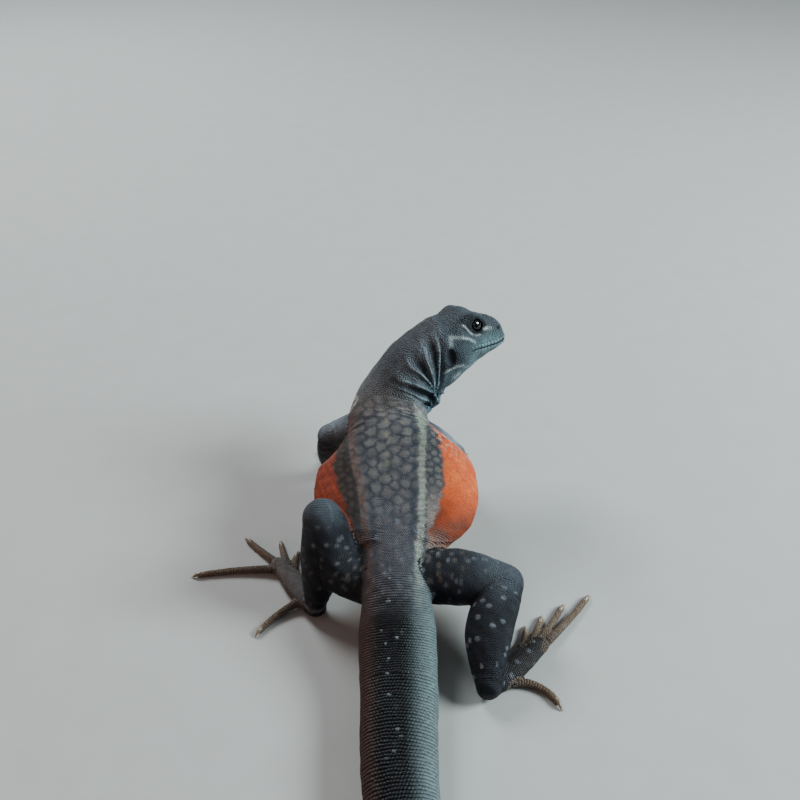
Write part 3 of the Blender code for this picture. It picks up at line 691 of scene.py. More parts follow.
def almond(side, depth, grow=0.0, count=40):
    """Places round the opening of the lids, at a depth in front of the eye's middle."""
    outward, along, across = eye_axes(side)
    turn = circle(count)
    wide = (LID_OPENING[0] + grow) * np.cos(turn)
    tall = (LID_OPENING[1] + grow) * signed_power(np.sin(turn), 1.2)
    return head_eye(side) + outward * depth + along * wide[:, None] + across * tall[:, None]


def mouth_line(count=40):
    """The mouth from its corner to the snout: places along and over the head's axis."""
    share = np.linspace(0, 1, count)
    x = MOUTH_CORNER[0] + (MOUTH_FRONT[0] - MOUTH_CORNER[0]) * np.sin(share * math.pi / 2)
    z = MOUTH_CORNER[1] + (MOUTH_FRONT[1] - MOUTH_CORNER[1]) * share**0.8
    return x, z - MOUTH_SAG * np.sin(math.pi * share)


def mouth_path(lift, out, count=40):
    """The line of the mouth from one corner round the snout to the other."""
    x, z = mouth_line(count)
    right = head_side(x, z + lift, 1, out)
    left = head_side(x, z + lift, -1, out)
    front = head_local(HEAD_LENGTH - 0.15 + out, 0, MOUTH_FRONT[1] + lift)
    return np.concatenate([right, front[None], left[::-1]])


def make_head():
    """The head with lids, lips, mouth, nostrils and ears."""
    made = loft_object(head)
    lid_radius = EYE_RADIUS + LID_THICKNESS
    added = [ball("lids", head_eye(side), (lid_radius,) * 3) for side in (1, -1)]
    for lift in (LIP_OFFSET, -LIP_OFFSET):
        line = [tuple(place) for place in mouth_path(lift, -LIP_SUNK)]
        added.append(loft_object(tube("lip", line, [LIP_END] + [LIP_RADIUS] * 3 + [LIP_END], 8)))
    boolean(made, added, "UNION")
    outer, inner = mouth_path(0, MOUTH_DEPTH), mouth_path(0, -MOUTH_DEPTH)
    wedge = np.stack([outer + UP * MOUTH_GROOVE, inner, outer - UP * MOUTH_GROOVE], axis=1)
    cutters = [loft_object({"name": "mouth", "rings": wedge})]
    for side in (1, -1):
        cutters.append(ball("socket", head_eye(side), (EYE_RADIUS + SOCKET_GAP,) * 3))
        opening = np.stack([almond(side, depth) for depth in LID_DEPTHS])
        cutters.append(loft_object({"name": "opening", "rings": opening}))
        nostril = head_side(NOSTRIL_PLACE[0], NOSTRIL_PLACE[1], side)[0]
        cutters.append(ball("nostril", nostril, NOSTRIL_SIZE, 16, 10))
        ear = head_side(EAR_PLACE[0], EAR_PLACE[1], side)[0]
        cutters.append(ball("ear", ear, EAR_SIZE, 24, 14))
    return boolean(made, cutters, "DIFFERENCE")


head_object = make_head()
print("head with its openings:", len(head_object.data.polygons), "faces,", clock())

# %% [markdown]
# The voxels are 0.45 mm, fine enough for a lid of three quarters of a millimetre. Where a limb
# leaves the trunk the fused surface has a hard crease that living skin never shows, so the mesh is
# eased there, by moving each point towards the mean of its neighbours a few times.

# %% One closed surface
VOXEL = 0.45 * MM


def join(pieces, name):
    """One object from several, with their meshes joined."""
    mesh = bmesh.new()
    for piece in pieces:
        mesh.from_mesh(piece.data)
        bpy.data.objects.remove(piece, do_unlink=True)
    data = bpy.data.meshes.new(name)
    mesh.to_mesh(data)
    mesh.free()
    return add_object(name, data)


# A roll of loose skin at the throat, on the inside of the neck's bend.
THROAT_FOLD = ((16.0, 78.6, 42.0), (14.7, 77.6, 38.8), (12.5, 76.8, 36.0), (10.0, 74.1, 34.3))
THROAT_FOLD_RADII = (2.4, 2.9, 3.0, 2.4)
throat_fold = tube("throat_fold", THROAT_FOLD, THROAT_FOLD_RADII, 24)
flesh = join([head_object] + [loft_object(part) for part in [body, throat_fold] + limbs], "skin")
remesh = flesh.modifiers.new("fuse", "REMESH")
remesh.mode = "VOXEL"
remesh.voxel_size = VOXEL
remesh.use_smooth_shade = True
apply_modifiers(flesh)
print("fused skin:", len(flesh.data.polygons), "squares,", clock())


# %% Ease the creases
def neighbours_of(data):
    """Both ends of every edge, twice, so that each point meets all its neighbours."""
    ends = np.empty(len(data.edges) * 2, dtype=int)
    data.edges.foreach_get("vertices", ends)
    ends = ends.reshape(-1, 2)
    return np.concatenate([ends, ends[:, ::-1]])


def ease(places, pairs, amount, rounds):
    """Move places towards the mean of their neighbours, each by its own amount."""
    count = np.bincount(pairs[:, 0], minlength=len(places))
    for _ in range(rounds):
        sums = [np.bincount(pairs[:, 0], places[pairs[:, 1], k], len(places)) for k in range(3)]
        mean = np.stack(sums, axis=1)
        places = places + (mean / count[:, None] - places) * amount[:, None]
    return places


def joints_of(kinds):
    """The place of every joint of the listed kinds, with the size listed for it."""
    for joints in [*HIND_JOINTS.values(), *FORE_JOINTS.values()]:
        for joint, size in kinds:
            if joint in joints:
                yield joints[joint], size


EASED_JOINTS = (("hip", 17.0), ("knee", 9.0), ("heel", 5.5),
                ("shoulder", 14.0), ("elbow", 7.0), ("wrist", 4.5))
EASE_ROUNDS = 16
POLISH, POLISH_ROUNDS = 0.35, 2
skin_places = places_of(flesh.data)
amount = np.zeros(len(skin_places))
for place, reach in joints_of(EASED_JOINTS):
    away = distance(skin_places, place)
    amount = np.maximum(amount, 0.5 * (1 - rise(0.75 * reach, 1.25 * reach, away)))
pairs = neighbours_of(flesh.data)
skin_places = ease(skin_places, pairs, amount, EASE_ROUNDS)
skin_places = ease(skin_places, pairs, np.full(len(skin_places), POLISH), POLISH_ROUNDS)
print("eased", int((amount > 0.1).sum()), "of", len(skin_places), "points")

# %% [markdown]
# ## Where on the animal is a point?
# Folds, colours and scales all follow the body: along the spine, and round it. So each point of
# the skin looks up the nearest spot on the rings that the skin came from, and takes over its place
# along the loft and its angle round it. One lookup then serves every rule that follows.

# %% Look up places on the rings
SOURCES = [body, head] + limbs
NAMES = [loft["name"] for loft in SOURCES]


def source_tables():
    """All rings as one surface, with the loft, row and angle of every point."""
    places, faces, part, row, angle = [], [], [], [], []
    for k, loft in enumerate(SOURCES):
        rows, sides = loft["rings"].shape[:2]
        first = sum(len(block) for block in places)
        places.append(loft_places(loft))
        made = ring_faces(rows, sides, first)
        faces += made
        part += [k] * len(made)
        row.append(np.concatenate([np.repeat(loft["rows"], sides), loft["rows"][[0, -1]]]))
        angle.append(np.concatenate([np.tile(circle(sides), rows), [0.0, 0.0]]))
    return np.concatenate(places), faces, np.array(part), np.concatenate(row), np.concatenate(angle)


source_places, source_faces, face_part, source_row, source_angle = source_tables()
source_corners = np.array([face if len(face) == 4 else face + face[-1:] for face in source_faces])
source_search = BVHTree.FromPolygons(source_places.tolist(), source_faces)


def look_up(places):
    """For each place: the nearest loft's number, the row along it and the angle round it."""
    found = [source_search.find_nearest(place) for place in places.tolist()]
    face = np.array([hit[2] for hit in found])
    spot = np.array([tuple(hit[0]) for hit in found])
    corners = source_corners[face]
    away = np.linalg.norm(source_places[corners] - spot[:, None], axis=2)
    weight = 1 / (away**2 + 1e-4)
    weight /= weight.sum(axis=1, keepdims=True)
    turn = source_angle[corners]
    angle = np.arctan2((weight * np.sin(turn)).sum(axis=1), (weight * np.cos(turn)).sum(axis=1))
    return face_part[face], (weight * source_row[corners]).sum(axis=1), angle


part, row, angle = look_up(skin_places)
print("points on", len(set(part.tolist())), "lofts,", clock())

# %% [markdown]
# ## Folds of loose skin
# The neck of this lizard is a sleeve of loose skin. With the head turned to the right, the inside
# of the bend bunches up in thin crests with broad valleys between them, which run round the neck.
# The valleys are sunk below the solids' surface and the crests stay on it, so nothing grows out of
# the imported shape. The spread ribs, the groin and the joints get gentler waves of the same kind.
# All of the skin is sunk by another quarter of a millimetre, which leaves room for the scales.

# %% Fold rules
CREST_SPACING = 4.4
CREST_DEPTH = 1.9
RIB_SPACING = 4.6
COAT_DEPTH = 0.26
WRINKLED_JOINTS = (("knee", 6.5), ("heel", 4.5), ("elbow", 5.0), ("wrist", 3.5))


def crests(along, spacing, sharp=0.7):
    """1 on thin crests a spacing apart, 0 in the broad valleys between them."""
    return 1 - np.abs(np.sin(math.pi * np.asarray(along) / spacing)) ** sharp


def neck_side(angle):
    """1 on the inside of the neck's bend, 0 over the nape and on the outside."""
    return np.maximum(0, np.cos(angle + math.radians(14))) ** 2


def neck_sink(s, angle):
    """How deep the neck's valleys are, in millimetres."""
    throat = 0.4 * np.maximum(0, -np.sin(angle)) ** 2
    warp = 1.0 * np.sin(1.6 * angle + 0.5) + 0.5 * np.sin(3.7 * angle + 0.35 * s)
    strength = 0.72 + 0.28 * np.sin(0.83 * s + 2.3 * angle)
    along = rise(75, 82, s) * (1 - rise(101.5, 104.5, s))
    valley = 1 - crests(s + warp, CREST_SPACING)
    return CREST_DEPTH * (neck_side(angle) + throat) * strength * valley * along


def trunk_sink(s, angle):
    """Waves over the spread ribs, and folds in front of the thigh and behind the arm."""
    flank = np.abs(np.cos(angle)) ** 0.6
    ribs = 0.09 * (0.5 - 0.5 * np.cos(2 * math.pi * (s + 2.5 * np.sin(angle)) / RIB_SPACING))
    ribs = ribs * rise(12, 20, s) * (1 - rise(56, 64, s)) * flank
    slant = s + 4.0 * np.sin(2 * angle)
    groin = 0.5 * (1 - crests(slant, 4.4)) * bump(s, 9.0, 4.0) * flank
    armpit = 0.45 * (1 - crests(slant, 3.4)) * bump(s, 62.0, 4.5) * flank
    return ribs + groin + armpit


def joint_sink(places):
    """Fine wrinkles over the knees, heels, elbows and wrists."""
    total = np.zeros(len(places))
    for place, reach in joints_of(WRINKLED_JOINTS):
        away = distance(places, place)
        total += 0.22 * (1 - crests(away, 1.7)) * bump(away, reach, 2.5)
    return total


def mottle(places, size, seed):
    """Smooth patches of about one size, between -1 and 1, the same at each run."""
    draw = np.random.default_rng(seed)
    waves = unit(draw.normal(size=(8, 3))) * (2 * math.pi / size) * draw.uniform(0.7, 1.5, (8, 1))
    return np.clip(np.sin(places @ waves.T + draw.uniform(0, 2 * math.pi, 8)).sum(axis=1) / 3.2, -1, 1)


def eye_distance(places):
    """How far places are from the middle of the nearer eyeball."""
    return np.minimum(*(distance(places, head_eye(side)) for side in (1, -1)))


def skin_sink(part, row, angle, places):
    """How far each point of the skin sinks under the fused surface."""
    on_body = part == 0
    sink = np.where(on_body | (part == 1), neck_sink(row, angle), 0.0)
    sink += np.where(on_body, trunk_sink(row, angle), 0.0)
    sink += np.where(part > 1, joint_sink(places), 0.0)
    sink += 0.12 * (1 + mottle(places, 7.0, 3)) * np.where(part > 1, 0.6, 1.0)
    lids = rise(4.4, 6.4, eye_distance(places))
    toes = np.array(["toe" in name for name in NAMES])[part]
    return (sink + COAT_DEPTH) * lids * np.where(toes, 0.6, 1.0)


def vertex_normals(places):
    """Outward directions of the skin at its points."""
    flesh.data.vertices.foreach_set("co", ((places + SHIFT) * MM).ravel())
    flesh.data.update()
    normals = np.empty(len(places) * 3)
    flesh.data.vertex_normals.foreach_get("vector", normals)
    return normals.reshape(-1, 3)


LOWEST = 0.12
normals = vertex_normals(skin_places)
skin_places = skin_places - normals * skin_sink(part, row, angle, skin_places)[:, None]
skin_places[:, 2] = np.maximum(skin_places[:, 2], LOWEST)
normals = vertex_normals(skin_places)
corners = np.empty(len(flesh.data.polygons) * 4, dtype=int)
flesh.data.loops.foreach_get("vertex_index", corners)
corners = corners.reshape(-1, 4)
skin_search = BVHTree.FromPolygons(skin_places.tolist(), corners.tolist())
print("skin sunk into place,", clock())

# %% [markdown]
# ## The markings
# Seen from above, the back is a dark net with grey meshes, between two pale stripes that run on to
# the tail. Outside each stripe lies a finer net, and beyond it the spread flank is orange: paler in
# its middle on the right as painted light, brown towards the groin and underneath, partly as painted
# shade, and a deeper red on the left as painted warm shade. The whole left side is painted darker and
# warmer as shade, and the tail's top is painted darker as shade. Legs and neck are slate with small
# pale spots. Knees and elbows carry a painted sheen, the neck's fold crests carry painted highlights,
# and their valleys painted shade. The head turns teal towards its lips, and pale lines frame the dark
# patch that holds the eye, which is partly painted shade under the brow. All of it is written as
# rules of the place along and round the body, so that skin and scales ask the same rule and always
# agree.

# %% Colours
# Some paints stand for light and shade: the left side's stripe, outer net and flank paints are painted warm
# shade. The right flank's pale paint and the tail's right and left paints are painted light. The tail's own
# dark paint is partly painted shade. The neck's crest paint is painted highlights, and the fleck paint
# partly painted glints. The valley, hollow and mouth paints and part of the lid paint are painted shade,
# and the knee and elbow paints are a painted sheen.
PALETTE = {
    "net": "#33363E", "spot": "#6C6866", "band": "#242C3A", "streak": "#7A8291", "small": "#686662",
    "stripe": "#8E9687", "stripe_left_warm_shade": "#6C4C3D", "vertebral": "#7D7867", "fleck": "#BFC4B8",
    "flank": "#C74E1C", "flank_right_lit": "#D87038", "flank_low": "#5C2B1A", "flank_left_warm_shade": "#5C1D11",
    "outer_left_warm_shade": "#2B1F19", "groin": "#A1948B", "belly": "#A58E7A", "pelvis": "#373B4B",
    "neck": "#5A6065", "valley": "#18232D", "painted_highlight": "#8FA4B1", "throat": "#546A73",
    "slate": "#1B1F27", "leg": "#101319", "leg_spot": "#8D949E", "leg_warm": "#6E655E",
    "leg_under": "#3B3735", "knee": "#6A757F", "elbow": "#A4B2BD", "toe": "#73604F",
    "tail": "#0A0C10", "tail_right_lit": "#5C6B6D", "tail_left_warm_lit": "#3D2B26", "tail_under": "#56544F",
    "tail_spot": "#98A2A8", "crown": "#41494F", "cheek": "#323F46", "jaw": "#5E7D81",
    "lip": "#657C80", "snout": "#364447", "ridge": "#C6D2D3", "dark_lid_and_shade": "#0D1218", "ear": "#2A3138",
    "hollow_shade": "#141A20", "mouth": "#1B2226",
}


def linear(code):
    """A hex colour turned from sRGB to linear light."""
    values = np.array([int(code[i:i + 2], 16) / 255 for i in (1, 3, 5)])
    return np.where(values <= 0.04045, values / 12.92, ((values + 0.055) / 1.055) ** 2.4)


PAINT = {name: linear(code) for name, code in PALETTE.items()}


def over(colour, name, share):
    """The colour with one of the paints laid over it by its share."""
    return mix(colour, PAINT[name], share)


print(len(PAINT), "colours")


# %% Spots on a staggered net
def draw_at(i, j, seed):
    """A number between 0 and 1 that belongs to one mesh of the net."""
    value = np.sin(i * 12.9898 + j * 78.233 + seed * 37.719) * 43758.5453
    return value - np.floor(value)


def cells(across, along, pitch, scatter, seed):
    """Distances to the nearest and the next centre of the net, and the nearest one's own number."""
    u, v = across / pitch[0], along / pitch[1]
    first, second, own = np.full(len(u), 99.0), np.full(len(u), 99.0), np.zeros(len(u))
    for i in (-1, 0, 1):
        column = np.floor(u) + i
        offset = 0.5 * (column % 2)
        for j in (-1, 0, 1):
            line = np.floor(v - offset) + j
            moved_u = scatter * (draw_at(column, line, seed) - 0.5)
            moved_v = scatter * (draw_at(column, line, seed + 1) - 0.5)
            away_u = (u - column - 0.5 - moved_u) * pitch[0]
            away_v = (v - offset - line - 0.5 - moved_v) * pitch[1]
            away = np.hypot(away_u, away_v)
            own = np.where(away < first, draw_at(column, line, seed + 5), own)
            second = np.minimum(second, np.maximum(first, away))
            first = np.minimum(first, away)
    return first, second, own


def spots(across, along, pitch, radius, scatter, seed, kept=1.0):
    """1 inside soft round spots, 0 between them; only a share of them is kept."""
    first, _, own = cells(across, along, pitch, scatter, seed)
    return (1 - rise(0.55 * radius, 1.2 * radius, first)) * (own < kept)


# Place along the spine, midline's shift, and the way out to the stripe and to the flank.
PATTERN = (
    (-262.0, 0.0, 1.0, 2.0),
    (-60.0, 0.0, 6.4, 10.0),
    (-20.0, -0.5, 7.4, 10.8),
    (2.0, -0.9, 9.0, 11.6),
    (11.0, -1.0, 9.8, 12.8),
    (24.0, -1.5, 10.6, 17.2),
    (32.0, -1.9, 11.3, 19.2),
    (40.0, -2.8, 12.3, 20.2),
    (50.0, -2.5, 13.4, 19.6),
    (60.0, -1.3, 13.9, 18.4),
    (71.0, -0.7, 13.6, 16.0),
    (84.0, 0.0, 12.8, 14.6),
    (103.0, 0.0, 12.0, 14.0),
)
NET_PITCH = (4.1, 5.3)
SMALL_PITCH = (2.7, 3.6)
STRIPE_REACH = 12.3


def net_share(across, s, pitch, rough, seed, thin):
    """1 on the pale cells of the net, 0 on its dark lines, which vary in width and depth."""
    first, second, own = cells(across, s, pitch, 0.55, seed)
    line = rise(0.05, thin * (1 + 0.45 * rough), second - first)
    core = 1 - 0.5 * rise(0.2 * pitch[0], 0.62 * pitch[0], first)
    return line * core * (0.62 + 0.38 * own)


def back_colour(s, off, out, stripe, zone, places):
    """The net, its cells and the stripes on the upper side of the trunk."""
    patch, rough = mottle(places, 5.0, 7), mottle(places, 1.7, 9)
    wavy = off * STRIPE_REACH / stripe + 0.35 * mottle(places, 3.2, 13)
    cell = net_share(wavy, s + 0.4 * rough, NET_PITCH, rough, 11, 1.5)
    clear = (0.25 + 0.75 * rise(6, 32, s)) * (1 - 0.6 * rise(64, 86, s))
    even = 0.3 + 0.45 * rise(60, 78, s)
    net = over(PAINT["net"], "pelvis", 0.6 * (1 - rise(10, 32, s)))
    colour = over(net, "spot", even + (cell - 0.3) * clear)
    first, _, own = cells(wavy, s, (3.1, 10.0), 0.6, 15)
    long = (1 - rise(0.3, 1.5, first)) * own * (1 - rise(14, 30, s)) * rise(-26, -4, s)
    colour = over(colour, "streak", 0.75 * long * (0.8 + 0.2 * rough))
    ridge = bump(off, -0.4, 0.9) * rise(33, 42, s) * (1 - rise(58, 72, s)) * rise(-0.3, 0.6, patch)
    colour = over(colour, "vertebral", 0.8 * ridge)
    right = off > 0
    small = net_share(off, s, SMALL_PITCH, rough, 17, 1.5)
    beyond = rise(stripe + 0.9, stripe + 1.8, out)
    shade = over(PAINT["net"], "small", small)
    # On the left the outer net is painted dark brown: painted warm shade.
    shade = np.where(right[:, None], shade, over(PAINT["outer_left_warm_shade"], "spot", 0.25 * small))
    colour = mix(colour, shade, beyond * (1 - rise(66, 76, s)) * rise(8, 20, s))
    band = bump(out, stripe - 2.9, 1.2) + 0.7 * bump(out, stripe + 2.0, 0.7)
    band = band * rise(-4, 14, s) * (1 - rise(52, 66, s)) * (0.75 + 0.25 * patch)
    # The dark bands are weaker on the left, which is painted as lying in shade.
    colour = over(colour, "band", np.where(right, 0.75, 0.55) * np.clip(band, 0, 1))
    reach = np.where(right, 1.3 + 1.3 * bump(s, 66, 8), 1.35) * (1 + 0.3 * rough)
    line = 1 - rise(0.5 * reach, 1.4 * reach, np.abs(out - stripe - 0.3 * patch))
    dots = spots(off - stripe, s, (3.4, 3.2), 0.8, 0.5, 57, 0.8)
    shown = rise(-34, 8, s) * (1 - rise(66, 74, s))
    shown = shown + 0.9 * dots * rise(64, 72, s) * (1 - rise(84, 90, s))
    beat = 0.78 + 0.22 * np.cos(2 * math.pi * (s + 0.5 * rough) / 2.3)
    # The left stripe is fainter and brown: painted warm shade.
    line = line * shown * beat * np.where(right, 0.95, 0.75 + 0.25 * patch)
    pale = over(PAINT["stripe"], "fleck", 0.4 * bump(s, 15, 16))
    pale = np.where(right[:, None], pale, PAINT["stripe_left_warm_shade"])
    colour = mix(colour, pale, line * np.where(right, 0.92, 0.8))
    # Pale flecks where the stripes end on the neck: partly pale scales, partly painted glints.
    edge = spots(off, s + 0.7 * out, (2.0, 2.9), 1.0, 0.7, 59, 0.7)
    edge = edge * rise(10.8, 12.2, out) * bump(s, 75, 6.5) * (out < 15)
    colour = over(colour, "fleck", 0.9 * edge)
    flecks = spots(off + 0.6 * s, s, (2.6, 4.0), 1.1, 0.8, 43, 0.8)
    flecks = flecks * bump(s, 54, 6) * rise(zone - 1, zone + 1, out)
    return colour, flecks * (1 - rise(zone + 4, zone + 7, out))


def flank_colour(s, side, low, places):
    """The orange of the spread flanks: paler mid-right as painted light, brown low and near the groin,
    partly painted shade, red on the left as painted shade.
    """
    patch, fine = mottle(places, 7.0, 61), mottle(places, 2.4, 63)
    # The right flank's middle is painted paler: painted light.
    pale = bump(s, 36, 11) * (0.55 + 0.3 * patch + 0.25 * fine)
    colour = over(PAINT["flank"], "flank_right_lit", np.clip(pale, 0, 1) * (side > 0))
    # The left flank is painted deep red: painted warm shade.
    colour = over(colour, "flank_left_warm_shade", np.where(side < 0, 0.8 - 0.3 * np.maximum(0, fine), 0.0))
    # Pale flecks and grey-white specks on the right flank only: painted glints.
    colour = over(colour, "flank_right_lit", 0.5 * bump(s, 54, 5) * rise(0.0, 0.7, fine) * (side > 0))
    grey = bump(s, 53, 7) * rise(-0.2, 0.7, mottle(places, 1.8, 65))
    grey = grey * (side > 0) * rise(0.25, -0.1, low)
    colour = over(colour, "fleck", 0.5 * grey)
    # A darker streak along a fold, and darker towards the underside and the groin: painted shade, with part
    # of the groin's brown the flank's own.
    fold = streak(s, low, ((32.0, 0.15), (12.0, 0.32)), 6.0) * bump(low, 0.2, 0.5)
    colour = over(colour, "flank_low", 0.35 * fold * (0.7 + 0.3 * patch))
    dark = np.maximum(rise(0.0, 0.8, low), rise(32, 14, s) * (0.8 + 0.2 * patch))
    return over(colour, "flank_low", np.clip(dark, 0, 1))


def body_colour(s, angle, places):
    """The colours of the tail, trunk and neck."""
    width, _, _, edge = girth_at(s).T
    side = width * signed_power(np.cos(angle), 1 - 0.2 * edge)
    middle, stripe, zone = read_table(PATTERN, s).T
    off = side - middle
    low = -np.sin(angle)
    out = np.abs(off) + np.where(low > 0, 30.0, 0.0)
    patch = mottle(places, 5.0, 7)
    colour, flecks = back_colour(s, off, out, stripe, zone, places)
    orange = flank_colour(s, side, low, places)
    # Paler at the groin: partly pale skin, partly a painted highlight on the groin fold.
    orange = over(orange, "groin", 0.85 * bump(s, 6.0, 4.5))
    # Pale tan only on the right side in front of the thigh: painted light.
    tan = bump(s, 18.0, 9.0) * rise(stripe + 1.2, stripe + 2.4, out)
    tan = tan * (1 - rise(zone + 0.5, zone + 2.5, out))
    colour = over(colour, "groin", 0.5 * tan * (side > 0))
    flank = rise(zone - 0.7, zone + 1.0, out + 0.7 * patch)
    colour = mix(colour, orange, flank * rise(3, 10, s) * (1 - rise(62, 69, s)))
    colour = over(colour, "net", 0.85 * flecks)
    colour = over(colour, "belly", rise(0.55, 0.9, low) * rise(-8, 6, s) * (1 - rise(66, 74, s)))
    # Darker where the thigh meets the trunk: painted shade in the crease.
    crease = bump(s, 0.0, 6.5) * rise(0.80, 0.95, np.abs(np.cos(angle)))
    colour = over(colour, "slate", 0.85 * crease)
    # The tail's dark paint is partly painted shade over its top. Its right side is painted paler as lit,
    # and its left edge warm brown as painted warm light.
    tail = over(PAINT["tail"], "tail_right_lit", rise(0.1, 0.9, np.cos(angle)))
    tail = over(tail, "tail_left_warm_lit", 0.85 * rise(0.45, 0.85, -np.cos(angle)))
    tail = over(tail, "tail_under", rise(0.2, 0.8, low))
    dots = spots(off + 2.2, s, (2.6, 4.6), 0.55, 0.9, 23, 0.5)
    dots = dots * bump(off, -1.8, 3.4) * rise(-85, -20, s)
    tail = over(tail, "tail_spot", 0.75 * dots * (low < 0))
    colour = mix(colour, tail, 1 - rise(-24, 6, s + 4.0 * patch))
    neck = over(PAINT["neck"], "throat", rise(-0.1, 0.7, low))
    neck = over(neck, "net", 0.45 * rise(0.6, 0.95, np.sin(angle)) * rise(80, 90, s))
    # A paler band high on the left of the neck: painted light.
    left = rise(0.1, 0.5, -np.cos(angle))
    neck = over(neck, "painted_highlight", 0.3 * bump(np.sin(angle), 0.45, 0.35) * left)
    # Pale on the fold crests inside the bend: painted highlights. Dark in the valleys: painted shade.
    valley = neck_sink(s, angle) / CREST_DEPTH
    inner = rise(0.15, 0.7, neck_side(angle))
    neck = over(neck, "painted_highlight", 0.6 * inner * (1 - rise(0.03, 0.3, valley)) * rise(76, 82, s))
    neck = over(neck, "valley", 0.85 * rise(0.3, 0.75, valley))
    neck = over(neck, "net", 0.35 * rise(0.2, 1.0, patch))
    return mix(colour, neck, rise(71, 86, s + 2.0 * patch + 12.0 * neck_side(angle)))


# Paint, strength, width, and the places forward and up that the line runs through.
HEAD_LINES = (
    ("ridge", 0.7, 0.38, ((9.3, 7.2), (10.6, 6.4), (12.2, 4.3), (13.2, 3.2))),
    ("ridge", 0.45, 0.34, ((13.2, 3.2), (15.2, 2.5), (17.4, 2.5))),
    ("ridge", 0.85, 0.46, ((8.8, 2.4), (11.2, 1.8), (14.2, 0.0))),
    ("ridge", 0.42, 0.7, ((3.2, 3.2), (8.6, 2.6))),
    # Painted highlight: the glint on the snout's edge in front of the eye.
    ("ridge", 0.7, 0.6, ((19.8, 4.3), (21.2, 4.4))),
    ("ridge", 0.4, 0.7, ((21.2, 4.4), (23.4, 4.2))),
    ("ridge", 0.4, 1.0, ((3.4, 2.2), (3.4, 0.2))),
    ("ridge", 0.6, 0.55, ((0.4, -10.6), (3.2, -9.2), (5.6, -8.6), (8.6, -8.4))),
    ("ridge", 0.45, 0.9, ((5.6, -13.0), (7.2, -11.8))),
    # Painted highlights: the glint along the lower jaw's edge, and the lit crest of the fold where neck
    # meets head.
    ("painted_highlight", 0.6, 0.6, ((9.0, -9.6), (13.0, -9.2), (17.0, -8.4))),
    ("painted_highlight", 0.6, 0.4, ((-0.6, 8.0), (-0.2, 2.0), (0.2, -3.0), (0.0, -10.0))),
)


def streak(x, z, line, width):
    """1 on a line drawn over the head's side, falling off smoothly beside it."""
    away = np.full(len(x), 99.0)
    for (x0, z0), (x1, z1) in zip(line, line[1:]):
        share = ((x - x0) * (x1 - x0) + (z - z0) * (z1 - z0)) / ((x1 - x0) ** 2 + (z1 - z0) ** 2)
        share = np.clip(share, 0, 1)
        away = np.minimum(away, np.hypot(x - x0 - share * (x1 - x0), z - z0 - share * (z1 - z0)))
    return bump(away, 0.0, width)


def head_colour(places, neck):
    """The colours of the head: dark above, teal on the jaws, pale lines round the eye, and painted shade
    and highlights.
    """
    x, y, z = head_coordinates(places)
    patch = mottle(places, 3.0, 17)
    fine = mottle(places, 1.4, 19)
    colour = over(PAINT["crown"], "cheek", bump(x, 8.0, 9.0) * bump(z, -1.5, 6.0))
    colour = over(colour, "snout", 0.75 * rise(18, 25, x) * rise(7.5, 2.0, z))
    teal = bump(x, 22.5, 8.0) * bump(z, -1.6, 3.6) + 0.8 * bump(x, 13.5, 4.0) * bump(z, -7.2, 2.4)
    colour = over(colour, "jaw", np.clip(teal * (0.75 + 0.2 * patch + 0.25 * fine), 0, 0.95))
    colour = over(colour, "throat", 0.7 * rise(8.5, 12.0, -z))
    line_x, line_z = mouth_line(60)
    to_mouth = z - np.interp(x, line_x, line_z)
    lips = (1 - rise(0.9, 2.0, np.abs(to_mouth))) * rise(12, 16, x)
    colour = over(colour, "lip", 0.4 * lips * (0.6 + 0.4 * fine))
    # Darker above the front of the eye: painted shadow under the brow.
    colour = over(colour, "hollow_shade", 0.5 * rise(17, 22, x) * rise(6.5, 9.5, z))
    # A dark patch round the eye: partly the dark lids, partly painted shade in the socket and under the
    # brow.
    dark = 1 - rise(0.8, 1.15, np.hypot((x - 14.9 + 0.5 * (z - 6.6)) / 6.5, (z - 6.6) / 4.4))
    colour = over(colour, "dark_lid_and_shade", 0.97 * dark)
    # Darker round the ear: painted shade in its hollow.
    shaded = 1 - rise(0.5, 1.25, np.hypot((x - 2.0) / 3.8, (z + 5.0) / 4.6))
    colour = over(colour, "hollow_shade", 0.8 * shaded)
    for name, amount, width, line in HEAD_LINES:
        amount = np.where((line[0][0] < 0) & (y < 0), 0.0, amount)
        colour = over(colour, name, amount * streak(x, z, line, width) * (0.8 + 0.2 * fine))
    colour = over(colour, "net", 0.3 * rise(0.1, 1.0, patch))
    ear = np.hypot((x - EAR_PLACE[0]) / EAR_SIZE[0], (z - EAR_PLACE[1]) / EAR_SIZE[2])
    colour = over(colour, "ear", 0.92 * (1 - rise(0.8, 1.1, ear)))
    # A dark line along the mouth: painted shade in its groove.
    slit = (1 - rise(0.2, 0.45, np.abs(to_mouth))) * rise(12.4, 13.0, x)
    colour = over(colour, "mouth", slit)
    # The nostrils are painted dark: painted shade in the openings.
    for side in (1, -1):
        nostril = head_side(NOSTRIL_PLACE[0], NOSTRIL_PLACE[1], side)[0]
        near = 1 - rise(0.75, 1.3, distance(places, nostril))
        colour = over(colour, "dark_lid_and_shade", near)
    return mix(neck, colour, rise(-1.5, 2.0, x))


# Joint, and the reach, strength and paint of the painted sheen on top of each knee and elbow.
BENDS = (("knee", (9.8, 0.62, "knee")), ("elbow", (12.0, 0.85, "elbow")))


